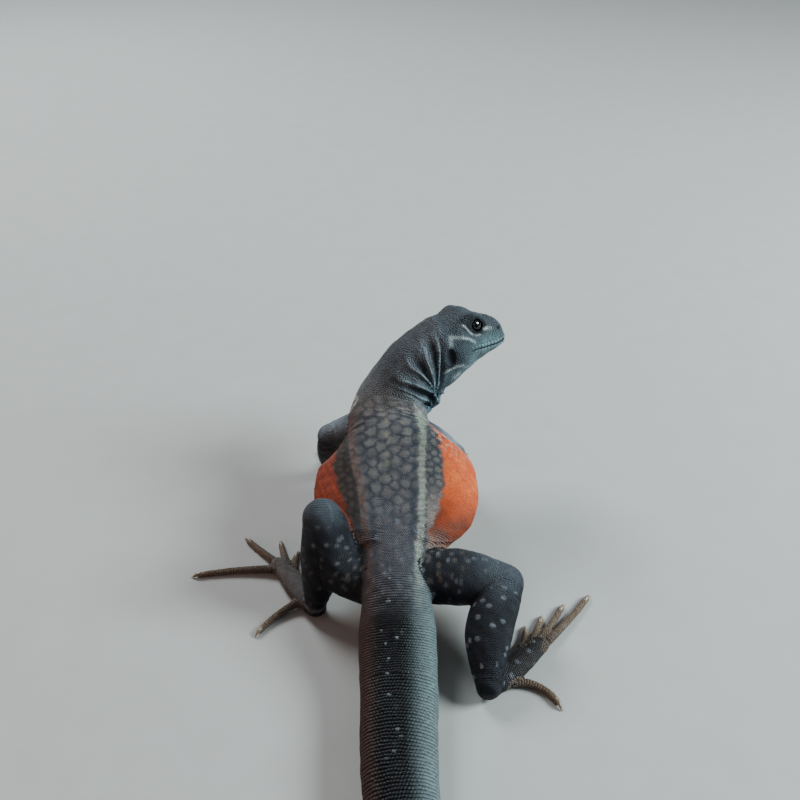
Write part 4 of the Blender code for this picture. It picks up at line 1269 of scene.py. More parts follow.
def limb_colour(loft, row, angle, places):
    """The colours of a limb: dark with small pale spots, paler under, brown at the toes, a painted sheen on
    top at knees and elbows.
    """
    length = np.linalg.norm(np.diff(loft["rings"].mean(axis=1), axis=0), axis=1).sum()
    half_way = loft["rings"][len(loft["rings"]) // 2]
    radius = np.linalg.norm(half_way - half_way.mean(axis=0), axis=1).mean()
    patch = mottle(places, 4.0, 29)
    seed = 31 + NAMES.index(loft["name"])
    strong = {"shank_right": 0.55, "foot_right": 0.4, "thigh_left": 0.25, "thigh_right": 0.3}
    spot = spots(angle * radius, row * length, (4.0, 4.6), 1.15, 0.95, seed, 0.38)
    spot = strong.get(loft["name"], 0.2) * spot * (0.75 + 0.25 * patch)
    colour = np.tile(PAINT["leg"], (len(row), 1))
    colour = over(colour, "slate", rise(-0.4, 0.8, patch))
    colour = over(colour, "leg_under", 0.8 * rise(0.6, 0.95, -np.sin(angle)))
    # A painted sheen over the top of each knee and elbow.
    for bend, (reach, sheen, name) in joints_of(BENDS):
        near = bump(distance(places, bend), 0.0, reach)
        colour = over(colour, name, sheen * near * rise(-1.0, 8.0, places[:, 2] - bend[2]))
    if loft["name"].startswith("thigh"):
        upper = rise(0.2, 0.8, np.sin(angle)) * (1 - rise(0.4, 0.7, row))
        warm = spots(angle * radius, row * length, (2.9, 3.3), 1.3, 0.9, 71, 0.5)
        colour = over(colour, "leg_warm", 0.4 * warm * upper)
    colour = over(colour, "leg_spot", spot)
    # The top of the left foot gets the knee's paint: a painted sheen.
    if loft["name"] == "foot_left":
        colour = over(colour, "knee", 0.5 * rise(0.2, 0.9, np.sin(angle)) * (0.8 + 0.2 * patch))
    toe = 0.75 if "toe" in loft["name"] else 0.0
    if loft["name"].startswith(("foot", "hand")) and not toe:
        toe = 0.1 if loft["name"] == "foot_right" else 0.4
    return over(colour, "toe", toe * (0.55 + 0.45 * rise(0.0, 0.8, row)))


def hide_colour(part, row, angle, places):
    """The colour of skin and scales at any place on the animal."""
    colour = np.empty((len(places), 3))
    for k, loft in enumerate(SOURCES):
        on = part == k
        if not on.any():
            continue
        if k > 1:
            colour[on] = limb_colour(loft, row[on], angle[on], places[on])
            continue
        colour[on] = body_colour(np.minimum(row[on], NECK_END), angle[on], places[on])
        if k == 1:
            colour[on] = head_colour(places[on], colour[on])
    return np.clip(colour, 0.0, 1.0)


print("marking rules ready")

# %% [markdown]
# ## Thin the skin
# Two hundred and forty thousand squares are more than the skin needs, because scales cover it. The
# decimation spares the head and toes, whose forms are small, and takes its points from the back,
# tail and limbs. The colours are worked out again afterwards, on the points that are left.

# %% Decimate, then colour the skin
SKIN_TRIANGLES = 190000


def set_colours(data, colours):
    """Store colours in linear light as the attribute that every hide material reads."""
    layer = data.color_attributes.new("hide", "FLOAT_COLOR", "POINT")
    values = np.concatenate([colours, np.ones((len(colours), 1))], axis=1)
    layer.data.foreach_set("color", values.ravel())


fine = np.array([name == "head" or "toe" in name for name in NAMES])[part]
group = flesh.vertex_groups.new(name="thinned")
group.add(np.flatnonzero(~fine).tolist(), 1.0, "REPLACE")
thin = flesh.modifiers.new("thin", "DECIMATE")
thin.decimate_type = "COLLAPSE"
thin.ratio = SKIN_TRIANGLES / (2 * len(flesh.data.polygons))
thin.vertex_group = group.name
thin.vertex_group_factor = 2.0
apply_modifiers(flesh)
flesh.vertex_groups.clear()
flesh.data.shade_smooth()
thinned = places_of(flesh.data)
set_colours(flesh.data, hide_colour(*look_up(thinned), thinned))
flesh.data.calc_loop_triangles()
print("skin:", len(flesh.data.loop_triangles), "triangles,", clock())

# %% [markdown]
# ## Materials
# A reptile's scale is keratin, the stuff of nails: hard, thin and satin, with a dull sheen where
# light grazes it. Between the scales lies bare skin, darker and rougher. Both materials read their
# colour from the same attribute and add small flecks and a grain too fine to model. One helper
# adds any node with its settings and links, so that a tree reads as a short list.


# %% The node helper
def add_node(tree, kind, settings=None, links=None):
    """Add a node: settings name its properties or sockets, links name sockets and their sources."""
    node = tree.nodes.new(kind)
    for key, value in (settings or {}).items():
        if isinstance(key, str) and hasattr(node, key):
            setattr(node, key, value)
        else:
            node.inputs[key].default_value = value
    for key, source in (links or {}).items():
        tree.links.new(source, node.inputs[key])
    return node


def new_material(name, settings):
    """A material with its shader, whose plain values are set on the sockets."""
    material = bpy.data.materials.new(name)
    material.use_nodes = True
    shader = material.node_tree.nodes["Principled BSDF"]
    for key, value in settings.items():
        shader.inputs[key].default_value = value
    return material, material.node_tree, shader


def per_metre(size):
    """A texture's scale for features of a size in millimetres."""
    return 1 / (size * MM)


def two_tone(name, settings, colours, size, detail):
    """A material clouded from one colour to another, in flecks of a size in millimetres."""
    material, tree, shader = new_material(name, settings)
    where = add_node(tree, "ShaderNodeTexCoord")
    fleck = add_node(tree, "ShaderNodeTexNoise", {"Scale": per_metre(size), "Detail": detail},
                     {"Vector": where.outputs["Object"]})
    tone = add_node(tree, "ShaderNodeMix", {"data_type": "RGBA"}, {"Factor": fleck.outputs["Fac"]})
    for key, code in zip("AB", colours):
        tone.inputs[key].default_value = (*linear(code), 1.0)
    tree.links.new(tone.outputs["Result"], shader.inputs["Base Color"])
    return material


def hide_material(name, shade, roughness, gleam, grain, relief):
    """Keratin or skin: painted by the hide attribute, flecked, and finely grained."""
    material, tree, shader = new_material(name, {"IOR": 1.5, "Specular IOR Level": gleam})
    paint = add_node(tree, "ShaderNodeAttribute", {"attribute_name": "hide"})
    where = add_node(tree, "ShaderNodeTexCoord")
    fleck = add_node(tree, "ShaderNodeTexNoise", {"Scale": per_metre(1.3), "Detail": 4.0},
                     {"Vector": where.outputs["Object"]})
    depth = add_node(tree, "ShaderNodeMapRange", {"To Min": shade[0], "To Max": shade[1]},
                     {"Value": fleck.outputs["Fac"]})
    tint = add_node(tree, "ShaderNodeMix",
                    {"data_type": "RGBA", "blend_type": "MULTIPLY", "Factor": 1.0},
                    {"A": paint.outputs["Color"], "B": depth.outputs["Result"]})
    gloss = add_node(tree, "ShaderNodeMapRange", {"To Min": roughness[0], "To Max": roughness[1]},
                     {"Value": fleck.outputs["Fac"]})
    fine = add_node(tree, "ShaderNodeTexNoise", {"Scale": per_metre(grain), "Detail": 2.0},
                    {"Vector": where.outputs["Object"]})
    raised = add_node(tree, "ShaderNodeBump", {"Strength": 0.5, "Distance": relief * MM},
                      {"Height": fine.outputs["Fac"]})
    tree.links.new(tint.outputs["Result"], shader.inputs["Base Color"])
    tree.links.new(gloss.outputs["Result"], shader.inputs["Roughness"])
    tree.links.new(raised.outputs["Normal"], shader.inputs["Normal"])
    return material


# Grown keratin: hard and satin, so that every scale catches a little light on its top.
KERATIN = hide_material("keratin_scales_grown", (0.74, 1.26), (0.34, 0.52), 0.2, 0.22, 0.03)
# Bare skin: darker and matt, which parts the scales from each other.
SKIN = hide_material("lizard_skin_between_scales", (0.5, 0.8), (0.6, 0.75), 0.15, 0.4, 0.05)
flesh.data.materials.clear()
flesh.data.materials.append(SKIN)
print("materials:", KERATIN.name, SKIN.name)

# %% [markdown]
# ## One scale
# Every scale is a low closed form of 12 to 30 triangles, sunk a little into the skin. With tens of
# thousands of them there is no room for more, and at life size more would not show. Granules have
# five sides and a flat top, pebbles on the head a rounded one, and feet have a crest near the free
# end. The tail wears tiles that rise to their free edge, which is what draws its fine rings, and
# the lips wear plates. Real granules are under half a millimetre wide. These are drawn coarser, at
# about 0.6 mm, because finer ones would melt into a flat grey in the picture.


# %% Scale forms
def scale_form(name, sides, square, slope, crest=None):
    """A closed form of unit length. Its top rises to the free end, with a crest if one is given."""
    turn = circle(sides) + math.pi / sides
    outline = np.stack([signed_power(np.cos(turn), square), signed_power(np.sin(turn), square)], axis=1)
    low = np.column_stack([outline * 0.56, np.full(sides, -0.30)])
    high = np.column_stack([outline * 0.43 + (0.03, 0), 0.7 + slope * outline[:, 0]])
    places = [low, high]
    faces = [tuple(range(sides))[::-1]]
    for i in range(sides):
        j = (i + 1) % sides
        faces.append((i, j, sides + j, sides + i))
        if crest is not None:
            faces.append((sides + i, sides + j, 2 * sides))
    if crest is None:
        faces.append(tuple(range(sides, 2 * sides)))
    else:
        places.append([[crest, 0.0, 1.0]])
    places = np.concatenate(places)
    data = bpy.data.meshes.new(name)
    data.from_pydata(places.tolist(), [], faces)
    data.shade_smooth()
    patch = data.attributes.new("patch", "FLOAT_VECTOR", "POINT")
    patch.data.foreach_set("vector", np.column_stack([places[:, :2], 0 * places[:, 2]]).ravel())
    return bpy.data.objects.new(name, data)


GRANULE = scale_form("granule_form", 5, 1.0, 0.15)
PEBBLE = scale_form("pebble_form", 6, 1.0, 0.0, 0.1)
KEELED = scale_form("keeled_form", 6, 0.8, 0.0, 0.3)
TILE = scale_form("tile_form", 4, 0.0, 0.3)
PLATE = scale_form("plate_form", 8, 0.62, 0.0, 0.05)
FORMS = (GRANULE, PEBBLE, KEELED, TILE, PLATE)
print("scale forms:", [len(form.data.polygons) for form in FORMS], "faces")

# %% [markdown]
# ## The coat as Geometry Nodes
# The roots of the scales are a cloud of points, each with its own direction, size, colour and
# place on the unwrap. The tree puts one scale on every root, turns it outwards and along the lie of
# the coat, varies its size a little, and writes the unwrap that a bake needs: each scale is a
# small patch round its root's place. Realize Instances turns the lot into plain mesh.


# %% The coat's node tree
def coat_tree():
    """Scales on points. The inputs are the form, the height, the unevenness, a seed and the finish."""
    tree = bpy.data.node_groups.new("scale_coat", "GeometryNodeTree")
    inputs = (("Roots", "Geometry"), ("Form", "Object"), ("Height", "Float"),
              ("Unevenness", "Float"), ("Patch", "Float"), ("Seed", "Int"), ("Finish", "Material"))
    for name, kind in inputs:
        tree.interface.new_socket(name, in_out="INPUT", socket_type="NodeSocket" + kind)
    tree.interface.new_socket("Coat", in_out="OUTPUT", socket_type="NodeSocketGeometry")
    given = add_node(tree, "NodeGroupInput")
    stored = {}
    for name in ("outward", "lie", "size", "root_unwrap", "patch"):
        settings = {"data_type": "FLOAT_VECTOR", "Name": name}
        node = add_node(tree, "GeometryNodeInputNamedAttribute", settings)
        stored[name] = node.outputs["Attribute"]
    turn = add_node(tree, "FunctionNodeAxesToRotation", {"primary_axis": "Z", "secondary_axis": "X"},
                    {"Primary Axis": stored["outward"], "Secondary Axis": stored["lie"]})
    form = add_node(tree, "GeometryNodeObjectInfo", None, {"Object": given.outputs["Form"]})
    lower, upper = (add_node(tree, "ShaderNodeMath", {"operation": operation, 0: 1.0},
                             {1: given.outputs["Unevenness"]}) for operation in ("SUBTRACT", "ADD"))
    varied = add_node(tree, "FunctionNodeRandomValue", {"data_type": "FLOAT"},
                      {2: lower.outputs[0], 3: upper.outputs[0], "Seed": given.outputs["Seed"]})
    tall = add_node(tree, "ShaderNodeCombineXYZ", {"X": 1.0, "Y": 1.0}, {"Z": given.outputs["Height"]})
    shaped = add_node(tree, "ShaderNodeVectorMath", {"operation": "MULTIPLY"},
                      {0: stored["size"], 1: tall.outputs["Vector"]})
    sized = add_node(tree, "ShaderNodeVectorMath", {"operation": "SCALE"},
                     {0: shaped.outputs["Vector"], "Scale": varied.outputs[1]})
    placed = add_node(tree, "GeometryNodeInstanceOnPoints", None,
                      {"Points": given.outputs["Roots"], "Instance": form.outputs["Geometry"],
                       "Rotation": turn.outputs["Rotation"], "Scale": sized.outputs["Vector"]})
    real = add_node(tree, "GeometryNodeRealizeInstances", None,
                    {"Geometry": placed.outputs["Instances"]})
    small = add_node(tree, "ShaderNodeVectorMath", {"operation": "SCALE"},
                     {0: stored["patch"], "Scale": given.outputs["Patch"]})
    unwrap = add_node(tree, "ShaderNodeVectorMath", {"operation": "ADD"},
                      {0: stored["root_unwrap"], 1: small.outputs["Vector"]})
    mapped = add_node(tree, "GeometryNodeStoreNamedAttribute",
                      {"data_type": "FLOAT2", "domain": "CORNER", "Name": "OFBake"},
                      {"Geometry": real.outputs["Geometry"], "Value": unwrap.outputs["Vector"]})
    finished = add_node(tree, "GeometryNodeSetMaterial", None,
                        {"Geometry": mapped.outputs["Geometry"], "Material": given.outputs["Finish"]})
    out = add_node(tree, "NodeGroupOutput")
    tree.links.new(finished.outputs["Geometry"], out.inputs["Coat"])
    return tree


COAT_TREE = coat_tree()
COAT_INPUTS = {item.name: item.identifier for item in COAT_TREE.interface.items_tree
               if item.in_out == "INPUT"}
PATCH_SIZE = 0.0026
coat_pieces = []


def make_coat(name, roots, form=GRANULE, height=0.30, unevenness=0.10, seed=1):
    """Scales on the roots as one plain mesh, which rides on the body and has its finish's slot."""
    places = roots["place"]
    data = bpy.data.meshes.new(name)
    data.vertices.add(len(places))
    data.vertices.foreach_set("co", ((places + SHIFT) * MM).ravel())
    least = np.minimum(roots["length"], roots["width"])
    sizes = np.column_stack([roots["length"], roots["width"], least * roots["tall"]])
    unwraps = np.column_stack([roots["unwrap"], np.zeros(len(places))])
    for key, values in (("outward", roots["outward"]), ("lie", roots["lie"]),
                        ("size", sizes * MM), ("root_unwrap", unwraps)):
        data.attributes.new(key, "FLOAT_VECTOR", "POINT").data.foreach_set("vector", values.ravel())
    set_colours(data, roots["colour"])
    piece = add_object(name, data)
    step = piece.modifiers.new("coat", "NODES")
    step.node_group = COAT_TREE
    values = {"Form": form, "Height": height, "Unevenness": unevenness, "Patch": PATCH_SIZE,
              "Seed": seed, "Finish": KERATIN}
    for key, value in values.items():
        step[COAT_INPUTS[key]] = value
    apply_modifiers(piece)
    for spare in ("outward", "lie", "size", "root_unwrap", "patch"):
        if spare in piece.data.attributes:
            piece.data.attributes.remove(piece.data.attributes[spare])
    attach(piece, "root")
    coat_pieces.append(piece)
    piece.data.calc_loop_triangles()
    print(f"{name}: {len(places)} scales, {len(piece.data.loop_triangles)} triangles")


# %% [markdown]
# ## Scales in rings
# On trunk, tail and limbs the scales stand in rings round the body, every second ring moved by
# half a scale, as bricks are. Each ring is walked with a tape measure: its length divided by the
# scale's width gives their number, and one of them always sits on the midline of the back. The
# roots are then dropped on the skin, and those that land far off, or on another part, are left out.

# %% Roots in rings
SCALE_JITTER = 0.06
FLANK_SMOOTH = 0.6
DROP_LIMIT = 1.6
WHOLE_LIMB = (-0.01, 1.01)


def on_skin(places):
    """The nearest places on the skin, the outward directions there, and how far off they were."""
    found = [skin_search.find_nearest(place) for place in places.tolist()]
    spot = np.array([tuple(hit[0]) for hit in found])
    outward = unit(normals[corners[[hit[2] for hit in found]]].mean(axis=1))
    return spot, outward, np.array([hit[3] for hit in found])


def ring_roots(loft, start, end, pitch, row_pitch, towards):
    """Roots in rings along a loft: their rows, angles, places and the lie of the coat there."""
    rings, rows = loft["rings"], loft["rows"]
    sides = rings.shape[1]
    centre = rings.mean(axis=1)
    along = tape_along(centre)
    first, last = np.interp((start, end), rows, along)
    wanted = np.arange(first + row_pitch / 2, last, row_pitch)
    index = np.interp(wanted, along, np.arange(len(rows)))
    turns = np.append(circle(sides), 2 * math.pi)
    made = {"row": [], "angle": [], "place": [], "lie": []}
    for k, at in enumerate(index):
        low = min(int(at), len(rings) - 2)
        ring = rings[low] + (rings[low + 1] - rings[low]) * (at - low)
        step = (rings[low + 1] - rings[low]) * towards
        ring, step = np.append(ring, ring[:1], axis=0), np.append(step, step[:1], axis=0)
        tape = tape_along(ring)
        count = max(6, round(tape[-1] / pitch))
        back = np.interp(math.pi / 2, turns, tape)
        spot = (back + (np.arange(count) + 0.5 * (k % 2)) * tape[-1] / count) % tape[-1]
        made["angle"].append(np.interp(spot, tape, turns))
        made["place"].append(read_along(spot, tape, ring))
        made["lie"].append(read_along(spot, tape, step))
        made["row"].append(np.full(count, np.interp(at, np.arange(len(rows)), rows)))
    return {key: np.concatenate(values) for key, values in made.items()}


def flank_share(number, row, angle):
    """1 on the spread flanks, whose skin is smooth because it is stretched over the ribs."""
    flank = rise(0.5, 0.8, np.abs(np.cos(angle))) * rise(8, 14, row) * (1 - rise(56, 62, row))
    return flank * (number == 0)


def granules(pitch):
    """Spacing along and between the rings, and the length and width, of granules of a pitch."""
    return pitch, 0.86 * pitch, 1.14 * pitch, 1.06 * pitch


def dress(loft, start, end, pitch, row_pitch, length, width, seed, towards=-1, cell=(0, 1)):
    """Finished roots for one stretch of a loft, dropped on the skin and coloured."""
    number = NAMES.index(loft["name"])
    roots = ring_roots(loft, start, end, pitch, row_pitch, towards)
    draw = np.random.default_rng(seed)
    if number < 2:
        centre = spine_frame(np.minimum(roots["row"], NECK_END))[0]
        inward = unit(centre - roots["place"])
        sunk = neck_sink(roots["row"], roots["angle"])
        roots["place"] = roots["place"] + inward * sunk[:, None]
    roots["place"] = roots["place"] + draw.normal(size=roots["place"].shape) * SCALE_JITTER * pitch
    spot, outward, missed = on_skin(roots["place"])
    owner = look_up(spot)[0]
    hidden = (spot[:, 2] < 0.5) & (outward[:, 2] < -0.5)
    keep = (missed < DROP_LIMIT) & ((owner == number) | ((owner < 2) & (number < 2))) & ~hidden
    roots = {key: values[keep] for key, values in roots.items()}
    roots["place"], roots["outward"] = spot[keep], outward[keep]
    share = (roots["row"] - start) / (end - start)
    roots["unwrap"] = np.column_stack([0.01 + 0.98 * (cell[0] + share) / cell[1],
                                       0.01 + 0.98 * roots["angle"] / (2 * math.pi)])
    roots["length"] = np.full(len(share), length)
    roots["width"] = np.full(len(share), width)
    roots["tall"] = 1 - FLANK_SMOOTH * flank_share(number, roots["row"], roots["angle"])
    colour = hide_colour(np.full(len(share), number), roots["row"], roots["angle"], roots["place"])
    roots["colour"] = colour * draw.uniform(0.86, 1.14, (len(share), 1))
    return roots


def gather(blocks):
    """Several blocks of roots as one."""
    return {key: np.concatenate([block[key] for block in blocks]) for key in blocks[0]}


TRUNK_PITCH = 0.64
TAIL_PITCH = 1.1
TAIL_RING = 1.14
TRUNK_STRETCHES = (("rear", -4.0, 24.0), ("middle", 24.0, 47.0), ("front", 47.0, NECK_START))
for k, (name, start, end) in enumerate(TRUNK_STRETCHES):
    roots = dress(body, start, end, *granules(TRUNK_PITCH), 50 + k)
    make_coat("scales_trunk_" + name, roots, seed=k)
TAIL_STRETCHES = (("root", -20.0, -4.0, 0.7), ("front", -38.0, -20.0, 0.84),
                  ("middle", -140.0, -38.0, 1.0), ("end", -260.5, -140.0, 1.0))
for k, (name, start, end, size) in enumerate(TAIL_STRETCHES):
    roots = dress(body, start, end, size * TAIL_PITCH, size * TAIL_RING, size, 1.38 * size, 70 + k)
    make_coat("scales_tail_" + name, roots, TILE, 0.3, 0.03, seed=20 + k)
print("trunk and tail dressed,", clock())

# %% [markdown]
# Legs and arms wear scales a little smaller than the back's, lying towards the foot. Feet, hands
# and toes get larger ones with a keel, in rings that run across each toe.

# %% Dress the limbs
LIMB_PITCH = 0.62
for side in ("left", "right"):
    for prefix, stretches in (("hind_leg", ("thigh", "shank")), ("fore_leg", ("upper_arm", "forearm"))):
        blocks = []
        for k, stretch in enumerate(stretches):
            loft = SOURCES[NAMES.index(f"{stretch}_{side}")]
            sizes = granules(LIMB_PITCH)
            blocks.append(dress(loft, *WHOLE_LIMB, *sizes, 80 + k, towards=1, cell=(k, 2)))
        make_coat(f"scales_{prefix}_{side}", gather(blocks), GRANULE, 0.26, seed=30)
    for prefix in ("foot", "hand"):
        name = f"{prefix}_{side}"
        pitch = 0.75 if prefix == "foot" else 0.68
        sole = SOURCES[NAMES.index(name)]
        sizes = (pitch, pitch, 1.1 * pitch, 1.05 * pitch)
        blocks = [dress(sole, *WHOLE_LIMB, *sizes, 90, towards=1, cell=(0, 6))]
        for k in range(1, 6):
            toe = SOURCES[NAMES.index(f"{name}_toe{k}")]
            sizes = (1.15 * pitch, 0.95, 1.08, 1.2 * pitch)
            blocks.append(dress(toe, *WHOLE_LIMB, *sizes, 90 + k, towards=1, cell=(k, 6)))
        make_coat(f"scales_{prefix}_{side}", gather(blocks), KEELED, 0.24, 0.06, seed=40)
print("limbs dressed,", clock())

# %% [markdown]
# ## The head's scales
# A lizard's head has no rings: its scales are pebbles of mixed size, larger on the snout and crown
# and finer elsewhere. They are drawn at random from the skin's own points and thinned, so that no
# two stand closer than their size. Lips and lids get rows of their own in the next step, and the
# pebbles keep clear of them. The neck's granules are scattered in the same way.


# %% Pebbles
def thin_out(places, apart, seed):
    """Which places to keep, so that each stands apart from the others by its own distance."""
    search = KDTree(len(places))
    for i, place in enumerate(places.tolist()):
        search.insert(place, i)
    search.balance()
    state = np.ones(len(places), dtype=bool)
    kept = []
    for i in np.random.default_rng(seed).permutation(len(places)).tolist():
        if state[i]:
            kept.append(i)
            for _, other, _ in search.find_range(places[i].tolist(), float(apart[i])):
                state[other] = False
    return np.array(kept)


def skin_roots(places, outward, length, width, lie, seed, span=(99.0, NECK_END + HEAD_LENGTH)):
    """Finished roots from places on the skin of the neck or head; span is where the unwrap runs."""
    draw = np.random.default_rng(seed)
    part, row, angle = look_up(places)
    count = len(places)
    along = (row - span[0]) / (span[1] - span[0])
    unwrap = np.column_stack([along, angle % (2 * math.pi) / (2 * math.pi)])
    colour = hide_colour(part, row, angle, places) * draw.uniform(0.92, 1.08, (count, 1))
    return {"place": places, "outward": outward, "lie": np.broadcast_to(lie, places.shape),
            "length": np.broadcast_to(length, count), "width": np.broadcast_to(width, count),
            "tall": np.ones(count), "unwrap": np.clip(0.01 + 0.98 * unwrap, 0.005, 0.995),
            "colour": colour}


x, y, z = head_coordinates(skin_places)
line_x, line_z = mouth_line(60)
to_mouth = z - np.interp(x, line_x, line_z)
eye_away = eye_distance(skin_places)
ear_away = np.hypot((x - EAR_PLACE[0]) / EAR_SIZE[0], (z - EAR_PLACE[1]) / EAR_SIZE[2])
nostrils = [head_side(*NOSTRIL_PLACE, side)[0] for side in (1, -1)]
nostril_away = np.minimum(*(distance(skin_places, nostril) for nostril in nostrils))
on_head = (part <= 1) & (row > NECK_END - 1.6)
free = on_head & (eye_away > EYE_RADIUS + 1.6) & (ear_away > 1.08) & (nostril_away > 0.95)
free &= (np.abs(to_mouth) > 1.75) | (x < MOUTH_CORNER[0] - 0.4)
pebble = 0.54 + 0.2 * rise(14, 24, x) * rise(-2, 3, z) + 0.16 * rise(5, 9, z)
chosen = np.flatnonzero(free)
kept = chosen[thin_out(skin_places[chosen], pebble[chosen], 101)]
spread = pebble[kept] * 1.34
make_coat("scales_head", skin_roots(skin_places[kept], normals[kept], spread, spread, -FORWARD, 102),
          PEBBLE, 0.17, 0.05, seed=50)

NECK_GRANULE = 0.56
chosen = np.flatnonzero((part <= 1) & (row > NECK_START) & (row <= NECK_END - 1.6))
kept = chosen[thin_out(skin_places[chosen], np.full(len(chosen), NECK_GRANULE), 105)]
back = spine_frame(row[kept] - 1)[0] - spine_frame(row[kept])[0]
spread = np.full(len(kept), 1.3 * NECK_GRANULE)
make_coat("scales_neck", skin_roots(skin_places[kept], normals[kept], spread, spread, back, 106,
                                    (NECK_START, NECK_END)), GRANULE, 0.22, 0.05, seed=9)

# %% [markdown]
# The lips carry one row of plates above the mouth and two below it. Round the eye, rows of tiny
# beads follow the almond of the lids, and the first row forms its rim. Each bead is found by
# looking at the head from outside along the eye's own axis, and taking the first skin met.

# %% Lip plates and lid beads
LIP_PLATE = 1.75
LIP_LIFT = 0.98
RAY_LENGTH = 12.0


def first_skin(places, direction):
    """The first point of skin met from each place along a direction, with its outward direction."""
    spot, outward, met = [], [], []
    for place in places:
        hit = skin_search.ray_cast(place.tolist(), direction.tolist(), RAY_LENGTH)
        met.append(hit[0] is not None)
        spot.append(tuple(hit[0]) if hit[0] is not None else tuple(place))
        outward.append(normals[corners[hit[2]]].mean(axis=0) if hit[0] is not None else direction)
    return np.array(spot), unit(outward), np.array(met)


def lip_rows():
    """Plates along both lips, from corner to corner."""
    blocks = []
    for lift, tall in ((LIP_LIFT, 1.25), (-LIP_LIFT, 1.2), (-2.1 * LIP_LIFT, 1.0)):
        line = mouth_path(lift, 0.1, 120)
        tape = tape_along(line)
        count = round(tape[-1] / LIP_PLATE)
        at = (np.arange(count) + 0.5) * tape[-1] / count
        place = read_along(at, tape, line)
        spot, outward, _ = on_skin(place)
        lie = unit(read_along(at + 0.4, tape, line) - place + 1e-9)
        blocks.append(skin_roots(spot, outward, tape[-1] / count * 1.02, tall, lie, 103))
    return gather(blocks)


def lid_rows(side):
    """Beads in rows round the almond opening of one eye's lids."""
    blocks = []
    outward = eye_axes(side)[0]
    for grow, bead in ((0.22, 0.40), (0.62, 0.46), (1.08, 0.52), (1.6, 0.58), (2.15, 0.62)):
        line = almond(side, 8.0, grow, 200)
        tape = tape_along(line)
        count = round(tape[-1] / (bead * 1.04))
        at = (np.arange(count) + 0.5 * (len(blocks) % 2)) * tape[-1] / count
        spot, facing, met = first_skin(read_along(at, tape, line), -outward)
        lie = unit(spot - head_eye(side))
        near = met & (distance(spot, head_eye(side)) > EYE_RADIUS + 0.12)
        made = skin_roots(spot, facing, bead * 1.15, bead * 1.1, lie, 104)
        blocks.append({key: values[near] for key, values in made.items()})
    return gather(blocks)


make_coat("scales_lips", lip_rows(), PLATE, 0.16, 0.03, seed=51)
for side, name in ((1, "right"), (-1, "left")):
    make_coat("scales_lids_" + name, lid_rows(side), GRANULE, 0.3, 0.05, seed=52)
print("head dressed,", clock())

# %% [markdown]
# ## Eyes
# The real eye is a wet ball with a dark brown iris round a large round pupil. The eyeball is one
# mesh whose faces take pupil, bronze edge, iris or dark membrane by their angle from the line of
# sight. Over it goes a clear cornea, bulged in front, which gives the small sharp highlight.

# %% Eyeballs and corneas
PUPIL_ANGLE = math.radians(20)
EDGE_ANGLE = PUPIL_ANGLE + 0.05
IRIS_ANGLE = math.radians(46)
EYE_END = 3.1
CORNEA_END = 1.35
CORNEA_GAP = 0.07
CORNEA_BULGE = 0.22


def eye_tissue(name, roughness, colours):
    """A part of the eyeball, with the fine fibres of the tissue as colour flecks."""
    return two_tone(name, {"Roughness": roughness, "Specular IOR Level": 0.1}, colours, 0.35, 3.0)


# An opening into the dark eye, so it is black from every side.
PUPIL = eye_tissue("pupil_black_opening", 0.1, ("#050505", "#0A0908"))
# Brown tissue, in the photograph nearly as dark as the pupil.
IRIS = eye_tissue("iris_brown_tissue", 0.5, ("#0F0D0E", "#090809"))
# The bronze edge that parts the pupil from the iris.
IRIS_RIM = eye_tissue("iris_rim_bronze", 0.35, ("#231B14", "#15100C"))
# The dark membrane that shows in the corners of the eye.
SCLERA = eye_tissue("sclera_dark_membrane", 0.3, ("#17120F", "#0C0A09"))
# Clear wet tissue: it gives the eye its glint, kept small by a weak mirror.
CORNEA = new_material("cornea_wet_clear", {
    "Base Color": (1, 1, 1, 1), "Roughness": 0.02, "IOR": 1.376, "Transmission Weight": 1.0,
    "Specular IOR Level": 0.22})[0]


def eyeball(side, name):
    """Rings round the line of sight, from the front of the eye to its back."""
    outward, along, across = eye_axes(side)
    edges = np.concatenate([np.linspace(0.02, 0.24, 5), [PUPIL_ANGLE, EDGE_ANGLE],
                            np.linspace(PUPIL_ANGLE + 0.14, IRIS_ANGLE, 6),
                            np.linspace(IRIS_ANGLE + 0.1, EYE_END, 14)])
    for kind, radius, bulge, last in (("eye", EYE_RADIUS, 0.0, EYE_END),
                                      ("cornea", EYE_RADIUS + CORNEA_GAP, CORNEA_BULGE, CORNEA_END)):
        angles = edges[edges <= last]
        turn = circle(48)
        swell = radius + bulge * (1 - rise(0.35, 1.0, angles))
        ring = np.cos(turn)[:, None] * along + np.sin(turn)[:, None] * across
        places = head_eye(side) + swell[:, None, None] * (
            np.cos(angles)[:, None, None] * outward + np.sin(angles)[:, None, None] * ring)
        loft = {"name": f"{kind}_{name}", "rings": places, "tip": places[-1].mean(axis=0)}
        made = loft_object(loft)
        if kind == "eye":
            for material in (PUPIL, IRIS, IRIS_RIM, SCLERA):
                made.data.materials.append(material)
            centres = np.array([face.center for face in made.data.polygons]) / MM - SHIFT
            seen = np.arccos(np.clip(unit(centres - head_eye(side)) @ outward, -1, 1))
            inside = [seen < PUPIL_ANGLE, seen < EDGE_ANGLE, seen < IRIS_ANGLE]
            kinds = np.select(inside, [0, 2, 1], 3)
            made.data.polygons.foreach_set("material_index", kinds.astype(np.int32))
        else:
            made.data.materials.append(CORNEA)
        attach(made, "root")
    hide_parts("eye_" + name)


for side, name in ((1, "right"), (-1, "left")):
    eyeball(side, name)
print("eyes", 2 * EYE_RADIUS, "mm across")

# %% [markdown]
# ## Claws
# A claw is a curved cone of horn. Each one grows out of the end of its toe and curves down to the
# floor, into which its underside sinks by about a fifth of a millimetre.

# %% Claws
CLAW_SUNK = 0.28
CLAW_REACH = 1.22
CLAW_ARCH = 0.32
CLAW_TIP = 0.30
